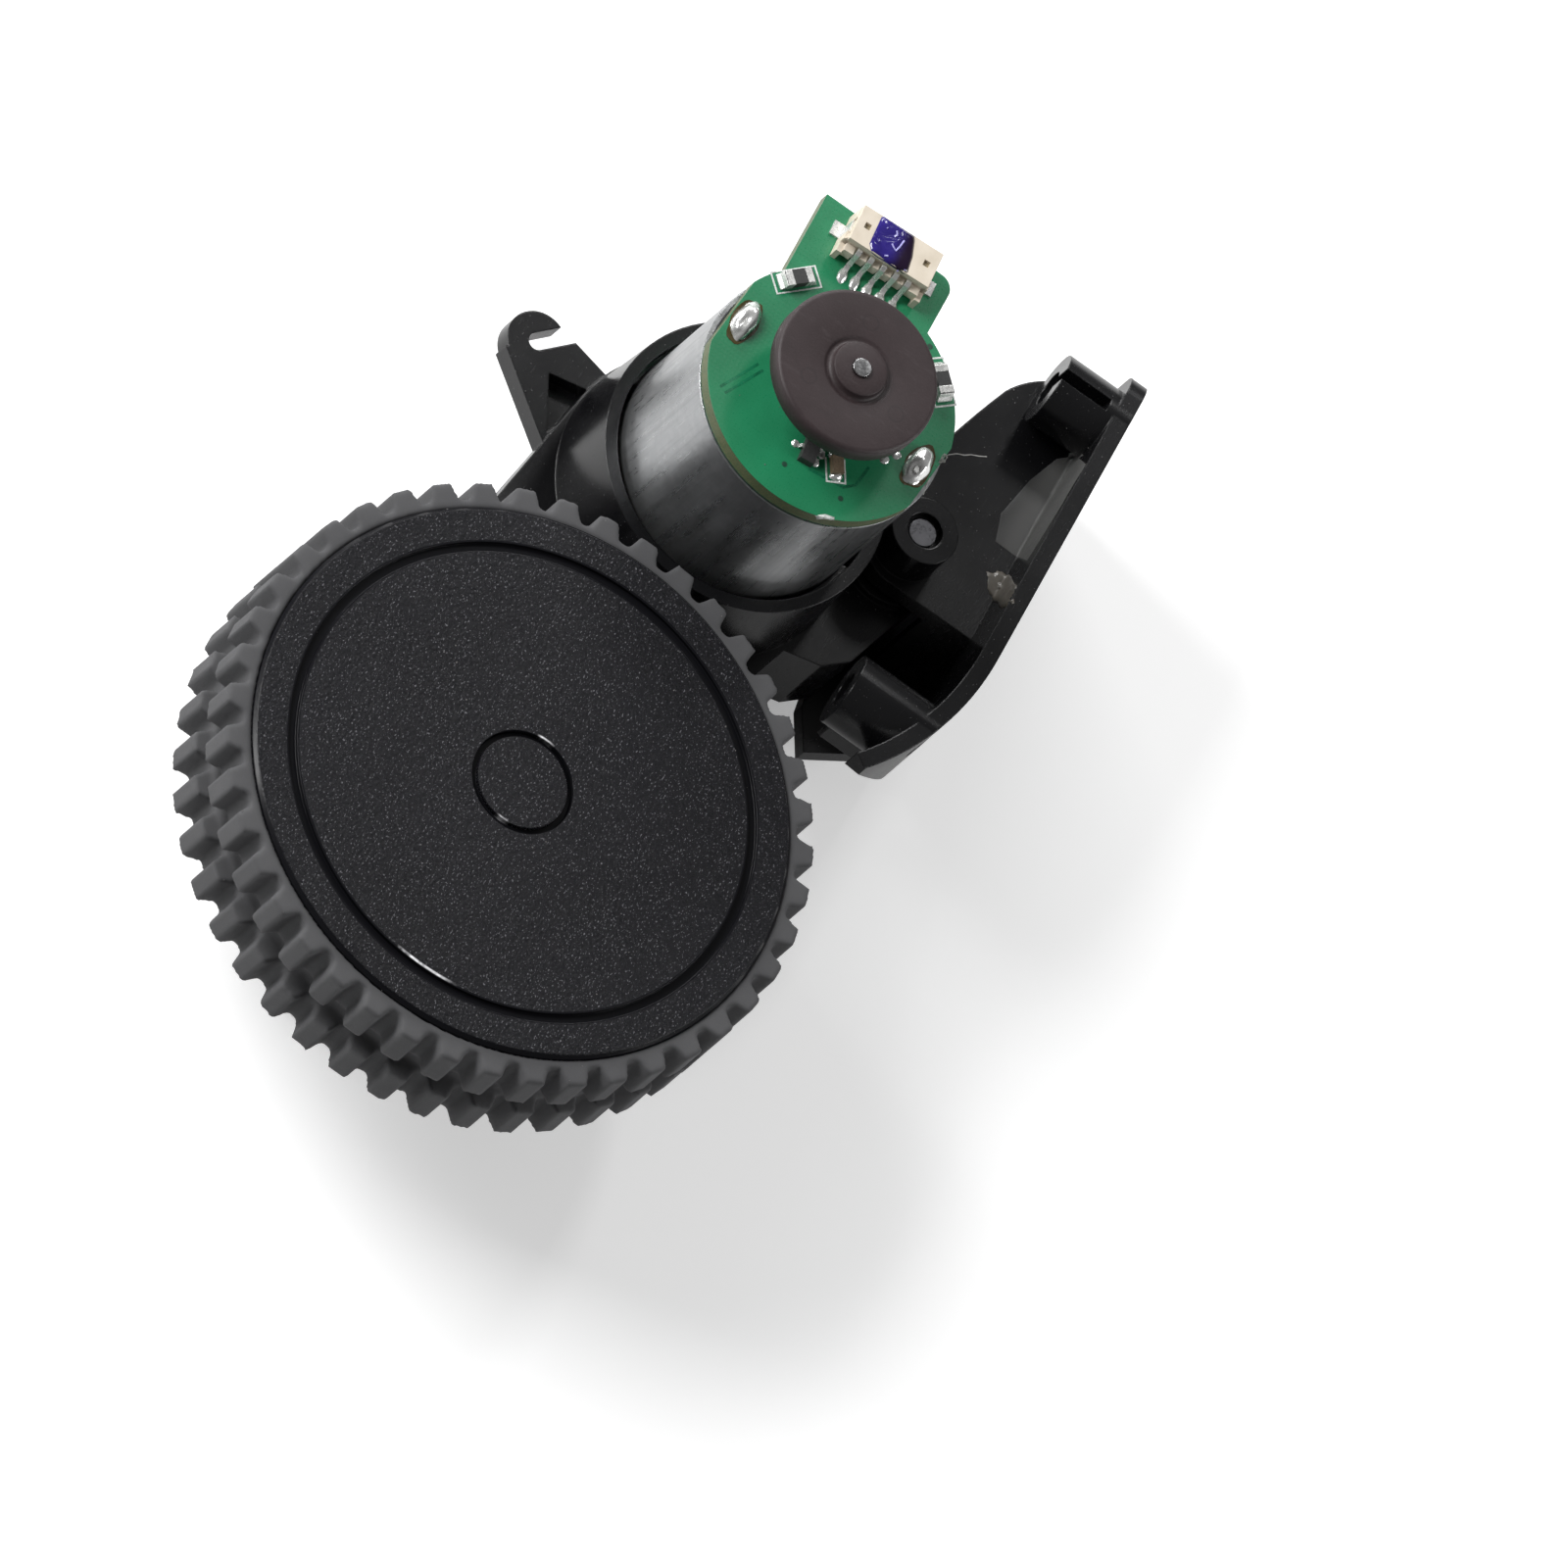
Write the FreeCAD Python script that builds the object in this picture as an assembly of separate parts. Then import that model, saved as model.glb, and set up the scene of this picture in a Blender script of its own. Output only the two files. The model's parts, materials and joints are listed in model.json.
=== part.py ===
import FreeCAD, Part
import math
import os

from FreeCAD import Vector

# Robot vacuum wheel module: a wheel, a geared motor with its encoder and a swing arm, hung on the pin
# of a bracket that is screwed to the chassis by two hollow bosses.
#
# Lengths are millimetres. +Z is the outward direction of the wheel's face, along the wheel, motor and
# pivot axes, which are parallel. X runs along the bracket's plate, away from the wheel. Y points from
# the plate to the wheel's side. The origin is midway between the two screw bosses, on their axes.

# Running, press and seating clearances
running_gap = 0.05
seat_gap = 0.1
axial_gap = 0.4

# Bracket: plate, bosses and cheeks
screw_spacing = 44.0
screw_hole_radius = 2.0
boss_radius = 4.05
far_boss_top = 3.0
near_boss_top = 6.3
boss_slot_width = 1.4
plate_outer_y = -5.45
plate_thickness = 1.9
plate_far_x = 27.6
plate_bend_x = -11.0
plate_bend_radius = 34.0
plate_bend_angle = 36.0
plate_front_z = 4.0
plate_rear_z = -20.0
plate_corner_radius = 3.0
plate_trim_x = -14.3
plate_trim_angle = 53.3
front_cheek_z = -4.0
front_cheek_thickness = 2.2
front_cheek_radius = 4.7
rear_cheek_thickness = 2.0
rear_cheek_radius = 4.2
dome_inset = 0.4
rib_thickness = 1.6
rib_height = 6.0
# Outlines of the cheeks, from the pivot: over the dome, and down the rear cheek's wheel side
dome_rise = (15.8, 1.1)
dome_shoulder = (22.3, -1.05)
dome_nose = (26.4, -4.6)
rear_cheek_side = [(-14.3, -9.7), (-18.5, -3.8), (-14.0, -1.3), (-10.0, -0.7), (-7.0, 0.0)]

# Pivot pin and its bosses
pivot_x = -1.0
pivot_y = 7.0
pin_radius = 1.5
pin_front_z = 0.0
pivot_boss_radius = 3.7
pivot_boss_front_z = 0.6
pivot_counterbore = 0.45
hub_radius = 5.5

# Arm: the motor's centre from the pivot, the wheel's from the motor, and the case's levels and walls
motor_from_pivot = (-8.0, 19.9)
wheel_bearing = 174.03
tyre_gap = 0.6
case_front_z = -7.5
case_split_z = -21.5
case_wall = 1.6
case_front_wall = 1.5
case_flange_thickness = 2.5
gear_case_wall = 1.0
motor_case_gap = 2.08
wheel_case_gap = 0.68
motor_flange_lip = 1.2
wheel_flange_lip = 0.6
underside_slope = 17.0
cover_thickness = 2.2
neck_web = [(-3.3, -4.4), (-13.0, -1.5), (-15.5, 1.0), (-17.0, 7.0), (-5.0, 5.0)]

# Motor cup
cup_rim_z = 3.4
cup_rim_width = 1.4
cup_rim_draft = 0.5
cup_mouth_gap = 0.6
cup_ledge_depth = 2.0
cup_floor_thickness = 1.5
scallop_count = 8
scallop_radius = 1.9
scallop_inset = 0.6
scallop_depth = 9.0

# Spring hook, from the pivot
hook_centre = (-3.0, 43.05)
hook_radius = 3.35
hook_slot_radius = 0.95
hook_slot_angle = -42.0
hook_thickness = 2.5
hook_setback = 0.2
hook_pocket_depth = 1.8

# Case screws
case_screw_radius = 1.0
case_screw_length = 8.0
case_ear_radius = 2.9
case_ear_depth = 7.0
case_screw_head_radius = 1.9
case_screw_head_height = 1.2

# Gears: teeth of each pinion and the gear it drives, with their modules as shares of the distance
# from the wheel to the motor
motor_teeth = 10
first_teeth = 44
first_module_share = 0.010
second_pinion_teeth = 12
second_teeth = 40
second_module_share = 0.012
third_pinion_teeth = 12
output_teeth = 42
third_module_share = 0.016
pressure_angle = math.radians(20.0)
addendum = 0.95
dedendum = 1.25
pinion_shift = 0.42
tooth_backlash = 0.08
second_gear_bearing = 4.15
gear_pin_radius = 1.0
gear_pin_seat = 1.2
gear_neck_radius = 3.2
first_gear_width = 1.8
second_gear_width = 2.6
third_gear_width = 5.5
third_gear_front_z = -10.0

# Motor
can_radius = 13.9
can_wall = 1.0
motor_seat_z = -14.6
motor_length = 36.8
can_boss_radius = 3.1
can_boss_height = 1.3
shaft_radius = 1.0
shaft_stub = 0.3
bush_radius = 2.2
front_bush_length = 3.3
end_cap_depth = 3.0
end_cap_lip = 0.4
motor_screw_inset = 5.9
motor_screw_radius = 1.25
motor_screw_head_radius = 2.1
motor_screw_head_height = 1.0
magnet_thickness = 1.9
magnet_span = 140.0
magnet_margin = 6.5
armature_gap = 0.6
armature_margin = 9.5
armature_slots = 5
slot_width = 2.4
slot_floor_radius = 4.2
winding_overhang = 3.5
winding_inset = 1.6
winding_core_radius = 1.6
commutator_radius = 3.4
commutator_length = 3.2
brush_width = 1.6
brush_height = 2.6
brush_length = 3.6

# Encoder board and what it carries, from the motor's axis
board_flat_inset = 0.7
board_thickness = 1.6
board_hole_radius = 3.2
tab_length = 5.6
tab_top_y = 10.5
tab_bottom_y = -5.6
tab_corner_radius = 1.6
magnet_disc_inset = 5.4
magnet_disc_rear_gap = 3.0
magnet_disc_thickness = 3.5
magnet_boss_radius = 3.0
magnet_boss_height = 0.7
magnet_groove_radius = 3.8
magnet_groove_depth = 0.6
socket_outset = 2.3
socket_rise = 1.9
socket_turn = -5.0
socket_length = 10.6
socket_depth = 6.2
socket_height = 3.6
socket_wall = 0.7
socket_pitch = 1.5
socket_ways = 5
lead_width = 0.6
lead_thickness = 0.3
lead_reach = 1.9
tab_foot_length = 2.2
terminal_inset = 2.4
terminal_bearing = 84.0
terminal_width = 2.6
terminal_thickness = 0.5
terminal_rise = 1.0
solder_length = 5.0
solder_width = 2.8
solder_height = 1.8
solder_taper = 0.8
bead_size = (3.2, 1.6, 1.1)
bead_inset = 1.3
bead_bearings = (45.5, -46.5)
sensor_size = (2.9, 1.6, 1.0)
sensor_inset = 6.43
sensor_bearing = 186.4
capacitor_size = (2.0, 1.2, 0.9)
capacitor_inset = 5.9
capacitor_bearing = 210.0

# Wheel
wheel_face_z = 8.0
rim_disc_thickness = 2.0
rim_seat_radius = 28.6
rim_flange_height = 1.55
rim_flange_width = 1.4
rim_barrel_wall = 1.7
rim_rear_flange_width = 1.0
rim_edge_chamfer = 0.4
rim_groove_inset = 2.3
rim_groove_width = 1.0
rim_groove_depth = 0.5
hub_groove_radius = 5.7
hub_groove_width = 0.7
hub_groove_depth = 0.6
hub_recess_depth = 2.0
hub_boss_radius = 7.5
rim_rib_count = 6
rim_rib_height = 3.0
axle_radius = 2.5
axle_depth = 4.8
axle_bush_radius = 4.0
axle_bush_length = 6.0
axle_boss_radius = 6.2
axle_boss_height = 5.0
wheel_screw_radius = 1.2
wheel_screw_length = 6.0
wheel_screw_floor = 1.4
wheel_screw_head_radius = 2.7
wheel_screw_head_height = 1.3
tyre_wall = 0.95
tyre_lug_height = 1.9
tyre_centre_drop = 0.3
tyre_face_setback = 0.5
tyre_width = 13.3
lug_count = 43
lug_phase = 0.8
lug_row_width = 5.5
lug_tip_width = 2.1
lug_foot_width = 3.3

# Places that follow from the sizes above
pivot = (pivot_x, pivot_y)
motor = (pivot_x + motor_from_pivot[0], pivot_y + motor_from_pivot[1])
plate_inner_y = plate_outer_y + plate_thickness
front_cheek_rear_z = front_cheek_z - front_cheek_thickness
rear_cheek_front_z = plate_rear_z + rear_cheek_thickness
case_rear_z = case_split_z - cover_thickness
cup_mouth_radius = can_radius + cup_mouth_gap
cup_rim_radius = cup_mouth_radius + cup_rim_width
cup_foot_radius = cup_rim_radius + cup_rim_draft
cup_body_radius = can_radius + seat_gap + case_wall
scallop_centre_radius = can_radius - scallop_inset
case_flange_z = case_front_z - case_flange_thickness
motor_screw_spread = can_radius - motor_screw_inset
armature_radius = can_radius - can_wall - magnet_thickness - armature_gap
winding_radius = armature_radius - winding_inset
board_radius = can_radius
terminal_spread = can_radius - terminal_inset
magnet_disc_radius = board_radius - magnet_disc_inset
socket_centre = (board_radius + socket_outset, socket_rise)
rim_flange_radius = rim_seat_radius + rim_flange_height
rim_groove_radius = rim_seat_radius - rim_groove_inset
tyre_root_radius = rim_flange_radius + tyre_wall
tyre_lug_radius = tyre_root_radius + tyre_lug_height
tyre_centre_radius = tyre_root_radius - tyre_centre_drop
wheel_to_motor = tyre_lug_radius + cup_foot_radius + tyre_gap
wheel_turn = math.radians(wheel_bearing)
wheel_x = motor[0] + wheel_to_motor * math.cos(wheel_turn)
wheel_y = motor[1] + wheel_to_motor * math.sin(wheel_turn)
wheel = (wheel_x, wheel_y)
first_module = first_module_share * wheel_to_motor
second_module = second_module_share * wheel_to_motor
third_module = third_module_share * wheel_to_motor
second_tip_radius = second_module * (second_teeth / 2 + addendum - pinion_shift)
output_tip_radius = third_module * (output_teeth / 2 + addendum - pinion_shift)
motor_case_radius = second_tip_radius + motor_case_gap + gear_case_wall
wheel_case_radius = output_tip_radius + wheel_case_gap + gear_case_wall
motor_lobe_radius = motor_case_radius + motor_flange_lip
wheel_lobe_radius = wheel_case_radius + wheel_flange_lip
cup_floor_z = motor_seat_z - cup_floor_thickness
can_rear_z = motor_seat_z + motor_length
board_z = can_rear_z
board_face_z = board_z + board_thickness
magnet_disc_low_z = board_face_z + magnet_disc_rear_gap
magnet_disc_high_z = magnet_disc_low_z + magnet_disc_thickness
shaft_tail_z = magnet_disc_high_z + magnet_boss_height + shaft_stub
first_gear_front_z = cup_floor_z - axial_gap / 2
first_gear_rear_z = first_gear_front_z - first_gear_width
second_gear_front_z = first_gear_rear_z - axial_gap / 2
second_gear_rear_z = second_gear_front_z - second_gear_width
third_gear_rear_z = third_gear_front_z - third_gear_width
tyre_face_z = wheel_face_z - tyre_face_setback
tyre_rear_z = tyre_face_z - tyre_width
rim_rear_z = tyre_rear_z + seat_gap
case_front_inner_z = case_front_z - case_front_wall
axle_boss_front_z = case_front_z + axle_boss_height
axle_front_z = wheel_face_z - axle_depth
axle_rear_z = case_rear_z + 1.0
hub_boss_rear_z = axle_boss_front_z + axial_gap


def polar(centre, radius, degrees):
    """Point at a bearing from a centre, in the X-Y plane."""
    turn = math.radians(degrees)
    return (centre[0] + radius * math.cos(turn), centre[1] + radius * math.sin(turn))


def cylinder(centre, radius, z_low, z_high):
    """Upright cylinder between two levels."""
    base = Vector(centre[0], centre[1], z_low)
    return Part.makeCylinder(radius, z_high - z_low, base, Vector(0, 0, 1))


def ring(centre, outer, inner, z_low, z_high):
    """Upright tube between two levels."""
    return cylinder(centre, outer, z_low, z_high).cut(cylinder(centre, inner, z_low, z_high))


def prism(points, z_low, z_high):
    """Straight prism on a closed polygon of (x, y) points."""
    corners = [Vector(x, y, z_low) for x, y in points]
    face = Part.Face(Part.makePolygon(corners + corners[:1]))
    return face.extrude(Vector(0, 0, z_high - z_low))


def raised(face, z_low, z_high):
    """Prism on a face drawn at Z = 0."""
    solid = face.extrude(Vector(0, 0, z_high - z_low))
    solid.translate(Vector(0, 0, z_low))
    return solid


def block(centre, size, z_low, degrees=0.0):
    """Box of (x, y, z) size standing on a level, turned about its own middle."""
    solid = Part.makeBox(size[0], size[1], size[2], Vector(-size[0] / 2, -size[1] / 2, 0))
    solid.rotate(Vector(0, 0, 0), Vector(0, 0, 1), degrees)
    solid.translate(Vector(centre[0], centre[1], z_low))
    return solid


def lathe(centre, profile):
    """Solid of revolution about the upright axis through a centre, from (radius, z) points."""
    corners = [Vector(centre[0] + radius, centre[1], z) for radius, z in profile]
    face = Part.Face(Part.makePolygon(corners + corners[:1]))
    return face.revolve(Vector(centre[0], centre[1], 0), Vector(0, 0, 1), 360)


def turned(shape, centre, degrees):
    """Copy of a shape turned about an upright axis."""
    copy = shape.copy()
    copy.rotate(Vector(centre[0], centre[1], 0), Vector(0, 0, 1), degrees)
    return copy


def joined(shapes):
    """One solid out of several that touch or overlap."""
    whole = shapes[0].fuse(shapes[1:]) if len(shapes) > 1 else shapes[0]
    return whole.removeSplitter()


def save(name, shape):
    """Write one sub-part to its STEP file."""
    shape.exportStep("parts/" + name + ".step")
    print(name, len(shape.Solids), "solid(s), %.1f mm3" % shape.Volume)


def lobe_face(first, first_radius, second, second_radius):
    """Face round two circles and the tangents that join them."""
    dx = second[0] - first[0]
    dy = second[1] - first[1]
    heading = math.degrees(math.atan2(dy, dx))
    spread = math.degrees(math.acos((first_radius - second_radius) / math.hypot(dx, dy)))
    a = polar(first, first_radius, heading + spread)
    b = polar(second, second_radius, heading + spread)
    c = polar(second, second_radius, heading - spread)
    d = polar(first, first_radius, heading - spread)
    tip = polar(second, second_radius, heading)
    tail = polar(first, first_radius, heading + 180.0)
    edges = [
        Part.LineSegment(Vector(*a, 0), Vector(*b, 0)).toShape(),
        Part.Arc(Vector(*b, 0), Vector(*tip, 0), Vector(*c, 0)).toShape(),
        Part.LineSegment(Vector(*c, 0), Vector(*d, 0)).toShape(),
        Part.Arc(Vector(*d, 0), Vector(*tail, 0), Vector(*a, 0)).toShape(),
    ]
    return Part.Face(Part.Wire(edges))


# Gear wheels


def involute(angle):
    return math.tan(angle) - angle


def gear_points(centre, module, teeth, shift, phase):
    """Outline of a spur gear with a tooth at the bearing phase, each flank as one chord."""
    pitch_radius = module * teeth / 2
    base_radius = pitch_radius * math.cos(pressure_angle)
    tip_radius = pitch_radius + module * (addendum + shift)
    root_radius = pitch_radius - module * (dedendum - shift)
    half_tooth = (math.pi / 2 + 2 * shift * math.tan(pressure_angle)) / teeth
    half_tooth -= tooth_backlash / (2 * pitch_radius)
    flank = []
    for radius in (root_radius, tip_radius):
        lean = math.acos(min(1.0, base_radius / radius))
        flank.append((radius, math.degrees(half_tooth + involute(pressure_angle) - involute(lean))))
    points = []
    for tooth in range(teeth):
        middle = phase + 360.0 * tooth / teeth
        points += [polar(centre, radius, middle - half) for radius, half in flank]
        points += [polar(centre, radius, middle + half) for radius, half in reversed(flank)]
    return points


def gear(centre, module, teeth, shift, phase, z_low, z_high):
    """Spur gear blank between two levels."""
    return prism(gear_points(centre, module, teeth, shift, phase), z_low, z_high)


def centre_distance(module, pinion, driven):
    return module * (pinion + driven) / 2


def bearing(start, end):
    return math.degrees(math.atan2(end[1] - start[1], end[0] - start[0]))


def meshing_phase(driver, driver_teeth, driver_phase, driven, driven_teeth):
    """Phase at which a driven gear's tooth gap faces the driver's tooth."""
    line = bearing(driver, driven)
    return line + 180.0 + 180.0 / driven_teeth - (driver_phase - line) * driver_teeth / driven_teeth


# The second gear stands at a bearing from the wheel, and the first one closes the triangle to the motor.
third_reach = centre_distance(third_module, third_pinion_teeth, output_teeth)
second_gear = polar(wheel, third_reach, second_gear_bearing)
motor_reach = centre_distance(first_module, motor_teeth, first_teeth)
first_reach = centre_distance(second_module, second_pinion_teeth, second_teeth)
motor_to_second = math.hypot(second_gear[0] - motor[0], second_gear[1] - motor[1])
first_gear_corner = math.degrees(
    math.acos(
        (motor_reach**2 + motor_to_second**2 - first_reach**2) / (2 * motor_reach * motor_to_second)
    )
)
first_gear = polar(motor, motor_reach, bearing(motor, second_gear) - first_gear_corner)
output_phase = 0.0
third_pinion_phase = meshing_phase(wheel, output_teeth, output_phase, second_gear, third_pinion_teeth)
second_phase = 0.0
second_pinion_phase = meshing_phase(second_gear, second_teeth, second_phase, first_gear, second_pinion_teeth)
first_phase = 0.0
motor_pinion_phase = meshing_phase(first_gear, first_teeth, first_phase, motor, motor_teeth)


# Bracket


def plate_curve(outer):
    """Outer or inner edge of the plate: a straight run, then the bend towards the wheel."""
    level = plate_outer_y if outer else plate_inner_y
    radius = plate_bend_radius if outer else plate_bend_radius - plate_thickness
    centre = (plate_bend_x, level + radius)
    start = (plate_far_x, level)
    bend = (plate_bend_x, level)
    middle = polar(centre, radius, 270.0 - plate_bend_angle / 2)
    end = polar(centre, radius, 270.0 - plate_bend_angle)
    line = Part.LineSegment(Vector(*start, 0), Vector(*bend, 0)).toShape()
    arc = Part.Arc(Vector(*bend, 0), Vector(*middle, 0), Vector(*end, 0)).toShape()
    return start, end, [line, arc]


def plate_inner_at(x):
    """Height of the plate's inner face at an x."""
    if x >= plate_bend_x:
        return plate_inner_y
    radius = plate_bend_radius - plate_thickness
    return plate_inner_y + radius - math.sqrt(radius**2 - (plate_bend_x - x) ** 2)


def plate_face():
    outer_start, outer_end, outer_edges = plate_curve(True)
    inner_start, inner_end, inner_edges = plate_curve(False)
    close_wheel = Part.LineSegment(Vector(*outer_end, 0), Vector(*inner_end, 0)).toShape()
    close_far = Part.LineSegment(Vector(*outer_start, 0), Vector(*inner_start, 0)).toShape()
    edges = outer_edges + inner_edges + [close_wheel, close_far]
    return Part.Face(Part.Wire(Part.__sortEdges__(edges)))


def below_plate_face():
    """Space outside the plate, which the bosses are trimmed to."""
    start, end, edges = plate_curve(True)
    drop = plate_outer_y - 3 * boss_radius
    corners = [Vector(*end, 0), Vector(end[0], drop, 0), Vector(start[0], drop, 0), Vector(*start, 0)]
    edges += [Part.LineSegment(corners[i], corners[i + 1]).toShape() for i in range(3)]
    return Part.Face(Part.Wire(Part.__sortEdges__(edges)))


def cheek_face(radius, left_points):
    """Cheek outline: left points up to the pivot's side, the arc over it and the dome to the far end."""
    rise, bend, nose = [(pivot_x + x, pivot_y + y) for x, y in (dome_rise, dome_shoulder, dome_nose)]
    side = polar(pivot, radius, 180.0)
    shoulder = polar(pivot, radius, 135.0)
    top = polar(pivot, radius, 90.0)
    far = (plate_far_x - dome_inset, plate_inner_y)
    sink = plate_inner_y - plate_thickness / 2
    outline = [(far[0], sink), (left_points[0][0], sink)] + left_points + [side]
    edges = [Part.Arc(Vector(*side, 0), Vector(*shoulder, 0), Vector(*top, 0)).toShape()]
    edges.append(Part.Arc(Vector(*top, 0), Vector(*rise, 0), Vector(*bend, 0)).toShape())
    edges.append(Part.Arc(Vector(*bend, 0), Vector(*nose, 0), Vector(*far, 0)).toShape())
    edges.append(Part.LineSegment(Vector(*far, 0), Vector(*outline[0], 0)).toShape())
    for start, end in zip(outline, outline[1:]):
        edges.append(Part.LineSegment(Vector(*start, 0), Vector(*end, 0)).toShape())
    return Part.Face(Part.Wire(edges))


def screw_boss(x, top):
    """Hollow boss along Y, not bored yet."""
    foot = plate_outer_y
    return Part.makeCylinder(boss_radius, top - foot, Vector(x, foot, 0), Vector(0, 1, 0))


def far_boss_slot():
    """Slot down the front side of the far boss."""
    x = screw_spacing / 2
    slot_foot = plate_inner_at(x) + plate_thickness / 2
    slot = Part.makeBox(boss_slot_width, far_boss_top - slot_foot, 2 * boss_radius)
    slot.translate(Vector(x - boss_slot_width / 2, slot_foot, 0))
    return slot


def plate():
    """Curved plate with a rounded front corner, trimmed aslant behind the near boss, and its rib."""
    sheet = raised(plate_face(), plate_rear_z, plate_front_z)
    corner = [edge for edge in sheet.Edges if is_front_corner(edge)]
    sheet = sheet.makeFillet(plate_corner_radius, corner)
    near_x = -screw_spacing / 2
    rib = Part.makeBox(rib_thickness, rib_height + plate_thickness / 2, -plate_rear_z)
    rib_foot = plate_inner_at(near_x) - plate_thickness / 2
    rib.translate(Vector(near_x - rib_thickness / 2, rib_foot, plate_rear_z))
    turn = math.radians(plate_trim_angle)
    reach = 2 * plate_bend_radius
    tip = (plate_trim_x - reach * math.cos(turn), plate_rear_z + reach * math.sin(turn))
    below = plate_rear_z - 1.0
    outline = [(plate_trim_x, below), (plate_trim_x, plate_rear_z), tip, (tip[0], below)]
    corners = [Vector(x, plate_outer_y - 1.0, z) for x, z in outline]
    face = Part.Face(Part.makePolygon(corners + corners[:1]))
    return joined([sheet, rib]).cut(face.extrude(Vector(0, reach, 0)))


def is_front_corner(edge):
    """True for the edge through the plate's thickness at its far front corner."""
    box = edge.BoundBox
    return box.XMin > plate_far_x - 0.1 and box.ZMin > plate_front_z - 0.1


def pivot_bracket():
    near_x = -screw_spacing / 2
    far_x = screw_spacing / 2
    front_left = [(pivot_x - front_cheek_radius, plate_inner_y)]
    rear_left = [(pivot_x + x, pivot_y + y) for x, y in rear_cheek_side]
    low_rib = Part.makeBox(rib_thickness, rib_height, front_cheek_z - plate_rear_z)
    low_rib.translate(Vector(pivot_x - front_cheek_radius, plate_inner_y - 1.0, plate_rear_z))
    pieces = [
        plate(),
        raised(cheek_face(front_cheek_radius, front_left), front_cheek_rear_z, front_cheek_z),
        raised(cheek_face(rear_cheek_radius, rear_left), plate_rear_z, rear_cheek_front_z),
        cylinder(pivot, pivot_boss_radius, front_cheek_z, pivot_boss_front_z),
        screw_boss(near_x, near_boss_top),
        screw_boss(far_x, far_boss_top),
        low_rib,
    ]
    body = joined(pieces).cut(raised(below_plate_face(), plate_rear_z - 1.0, plate_front_z + 1.0))
    cutters = [far_boss_slot(), cylinder(pivot, pin_radius, plate_rear_z - 1.0, pivot_boss_front_z + 1.0)]
    cutters.append(
        cylinder(pivot, pin_radius + pivot_counterbore, pin_front_z - pivot_counterbore, pivot_boss_front_z)
    )
    for x, top in ((near_x, near_boss_top), (far_x, far_boss_top)):
        start = Vector(x, plate_outer_y - 1.0, 0)
        length = top - plate_outer_y + 2.0
        cutters.append(Part.makeCylinder(screw_hole_radius, length, start, Vector(0, 1, 0)))
    return body.cut(cutters).removeSplitter()


def pivot_pin():
    return cylinder(pivot, pin_radius, plate_rear_z, pin_front_z)


# Gearbox case


def underside_corner(motor_radius, wheel_radius):
    """Where the sloping underside leaves the motor's lobe and meets the wheel's lobe."""
    start = polar(motor, motor_radius, 270.0 - underside_slope)
    heading = math.radians(180.0 - underside_slope)
    step = (math.cos(heading), math.sin(heading))
    gap = (start[0] - wheel[0], start[1] - wheel[1])
    along = gap[0] * step[0] + gap[1] * step[1]
    reach = along**2 - (gap[0] ** 2 + gap[1] ** 2 - wheel_radius**2)
    travel = -along - math.sqrt(reach)
    return start, (start[0] + travel * step[0], start[1] + travel * step[1])


def case_face(motor_radius, wheel_radius):
    """Outline round motor lobe, wheel lobe, common top tangent and sloping underside."""
    distance = math.hypot(wheel[0] - motor[0], wheel[1] - motor[1])
    spread = math.degrees(math.acos((motor_radius - wheel_radius) / distance))
    top_bearing = bearing(motor, wheel) - spread
    motor_top = polar(motor, motor_radius, top_bearing)
    wheel_top = polar(wheel, wheel_radius, top_bearing)
    under_start, under_end = underside_corner(motor_radius, wheel_radius)
    wheel_far = polar(wheel, wheel_radius, 180.0)
    motor_far = polar(motor, motor_radius, 0.0)
    edges = [
        Part.LineSegment(Vector(*motor_top, 0), Vector(*wheel_top, 0)).toShape(),
        Part.Arc(Vector(*wheel_top, 0), Vector(*wheel_far, 0), Vector(*under_end, 0)).toShape(),
        Part.LineSegment(Vector(*under_end, 0), Vector(*under_start, 0)).toShape(),
        Part.Arc(Vector(*under_start, 0), Vector(*motor_far, 0), Vector(*motor_top, 0)).toShape(),
    ]
    return Part.Face(Part.Wire(edges))


def case_screw_places():
    """Centres of the ears that hold the cover, just outside the case's wall."""
    top_x = (motor[0] + wheel[0]) / 2 - hub_radius
    along = (top_x - motor[0]) / (wheel[0] - motor[0])
    motor_top = motor[1] + motor_case_radius
    wheel_top = wheel[1] + wheel_case_radius
    return [
        polar(motor, motor_case_radius + 2.0, -20.0),
        (top_x, motor_top + along * (wheel_top - motor_top) + 0.8),
        polar(wheel, wheel_case_radius + 0.8, 100.0),
        polar(wheel, wheel_case_radius + 0.8, 255.0),
    ]


def hook():
    """Flat spring hook with a slanting slot, and its pocketed stem on the case's wall."""
    front = case_front_z - hook_setback
    rear = front - hook_thickness
    centre = (pivot_x + hook_centre[0], pivot_y + hook_centre[1])
    stem = [(-13.0, 37.0), (-5.6, 45.7), (-2.4, 41.9), (-0.4, 39.8), (-1.7, 34.6), (-3.0, 30.0)]
    stem += [(-12.0, 33.0), (-12.6, 36.4)]
    pocket = [(-5.3, 40.4), (-4.1, 34.9), (-11.3, 37.6)]
    stem_points = [(pivot_x + x, pivot_y + y) for x, y in stem]
    pocket_points = [(pivot_x + x, pivot_y + y) for x, y in pocket]
    body = joined([cylinder(centre, hook_radius, rear, front), prism(stem_points, rear, front)])
    mouth = block((hook_radius, 0), (2 * hook_radius, 2 * hook_slot_radius, hook_thickness), rear)
    mouth = turned(mouth, (0, 0), hook_slot_angle)
    mouth.translate(Vector(centre[0], centre[1], 0))
    cutters = [cylinder(centre, hook_slot_radius, rear, front), mouth]
    cutters.append(prism(pocket_points, front - hook_pocket_depth, front))
    return body.cut(cutters)


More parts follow.
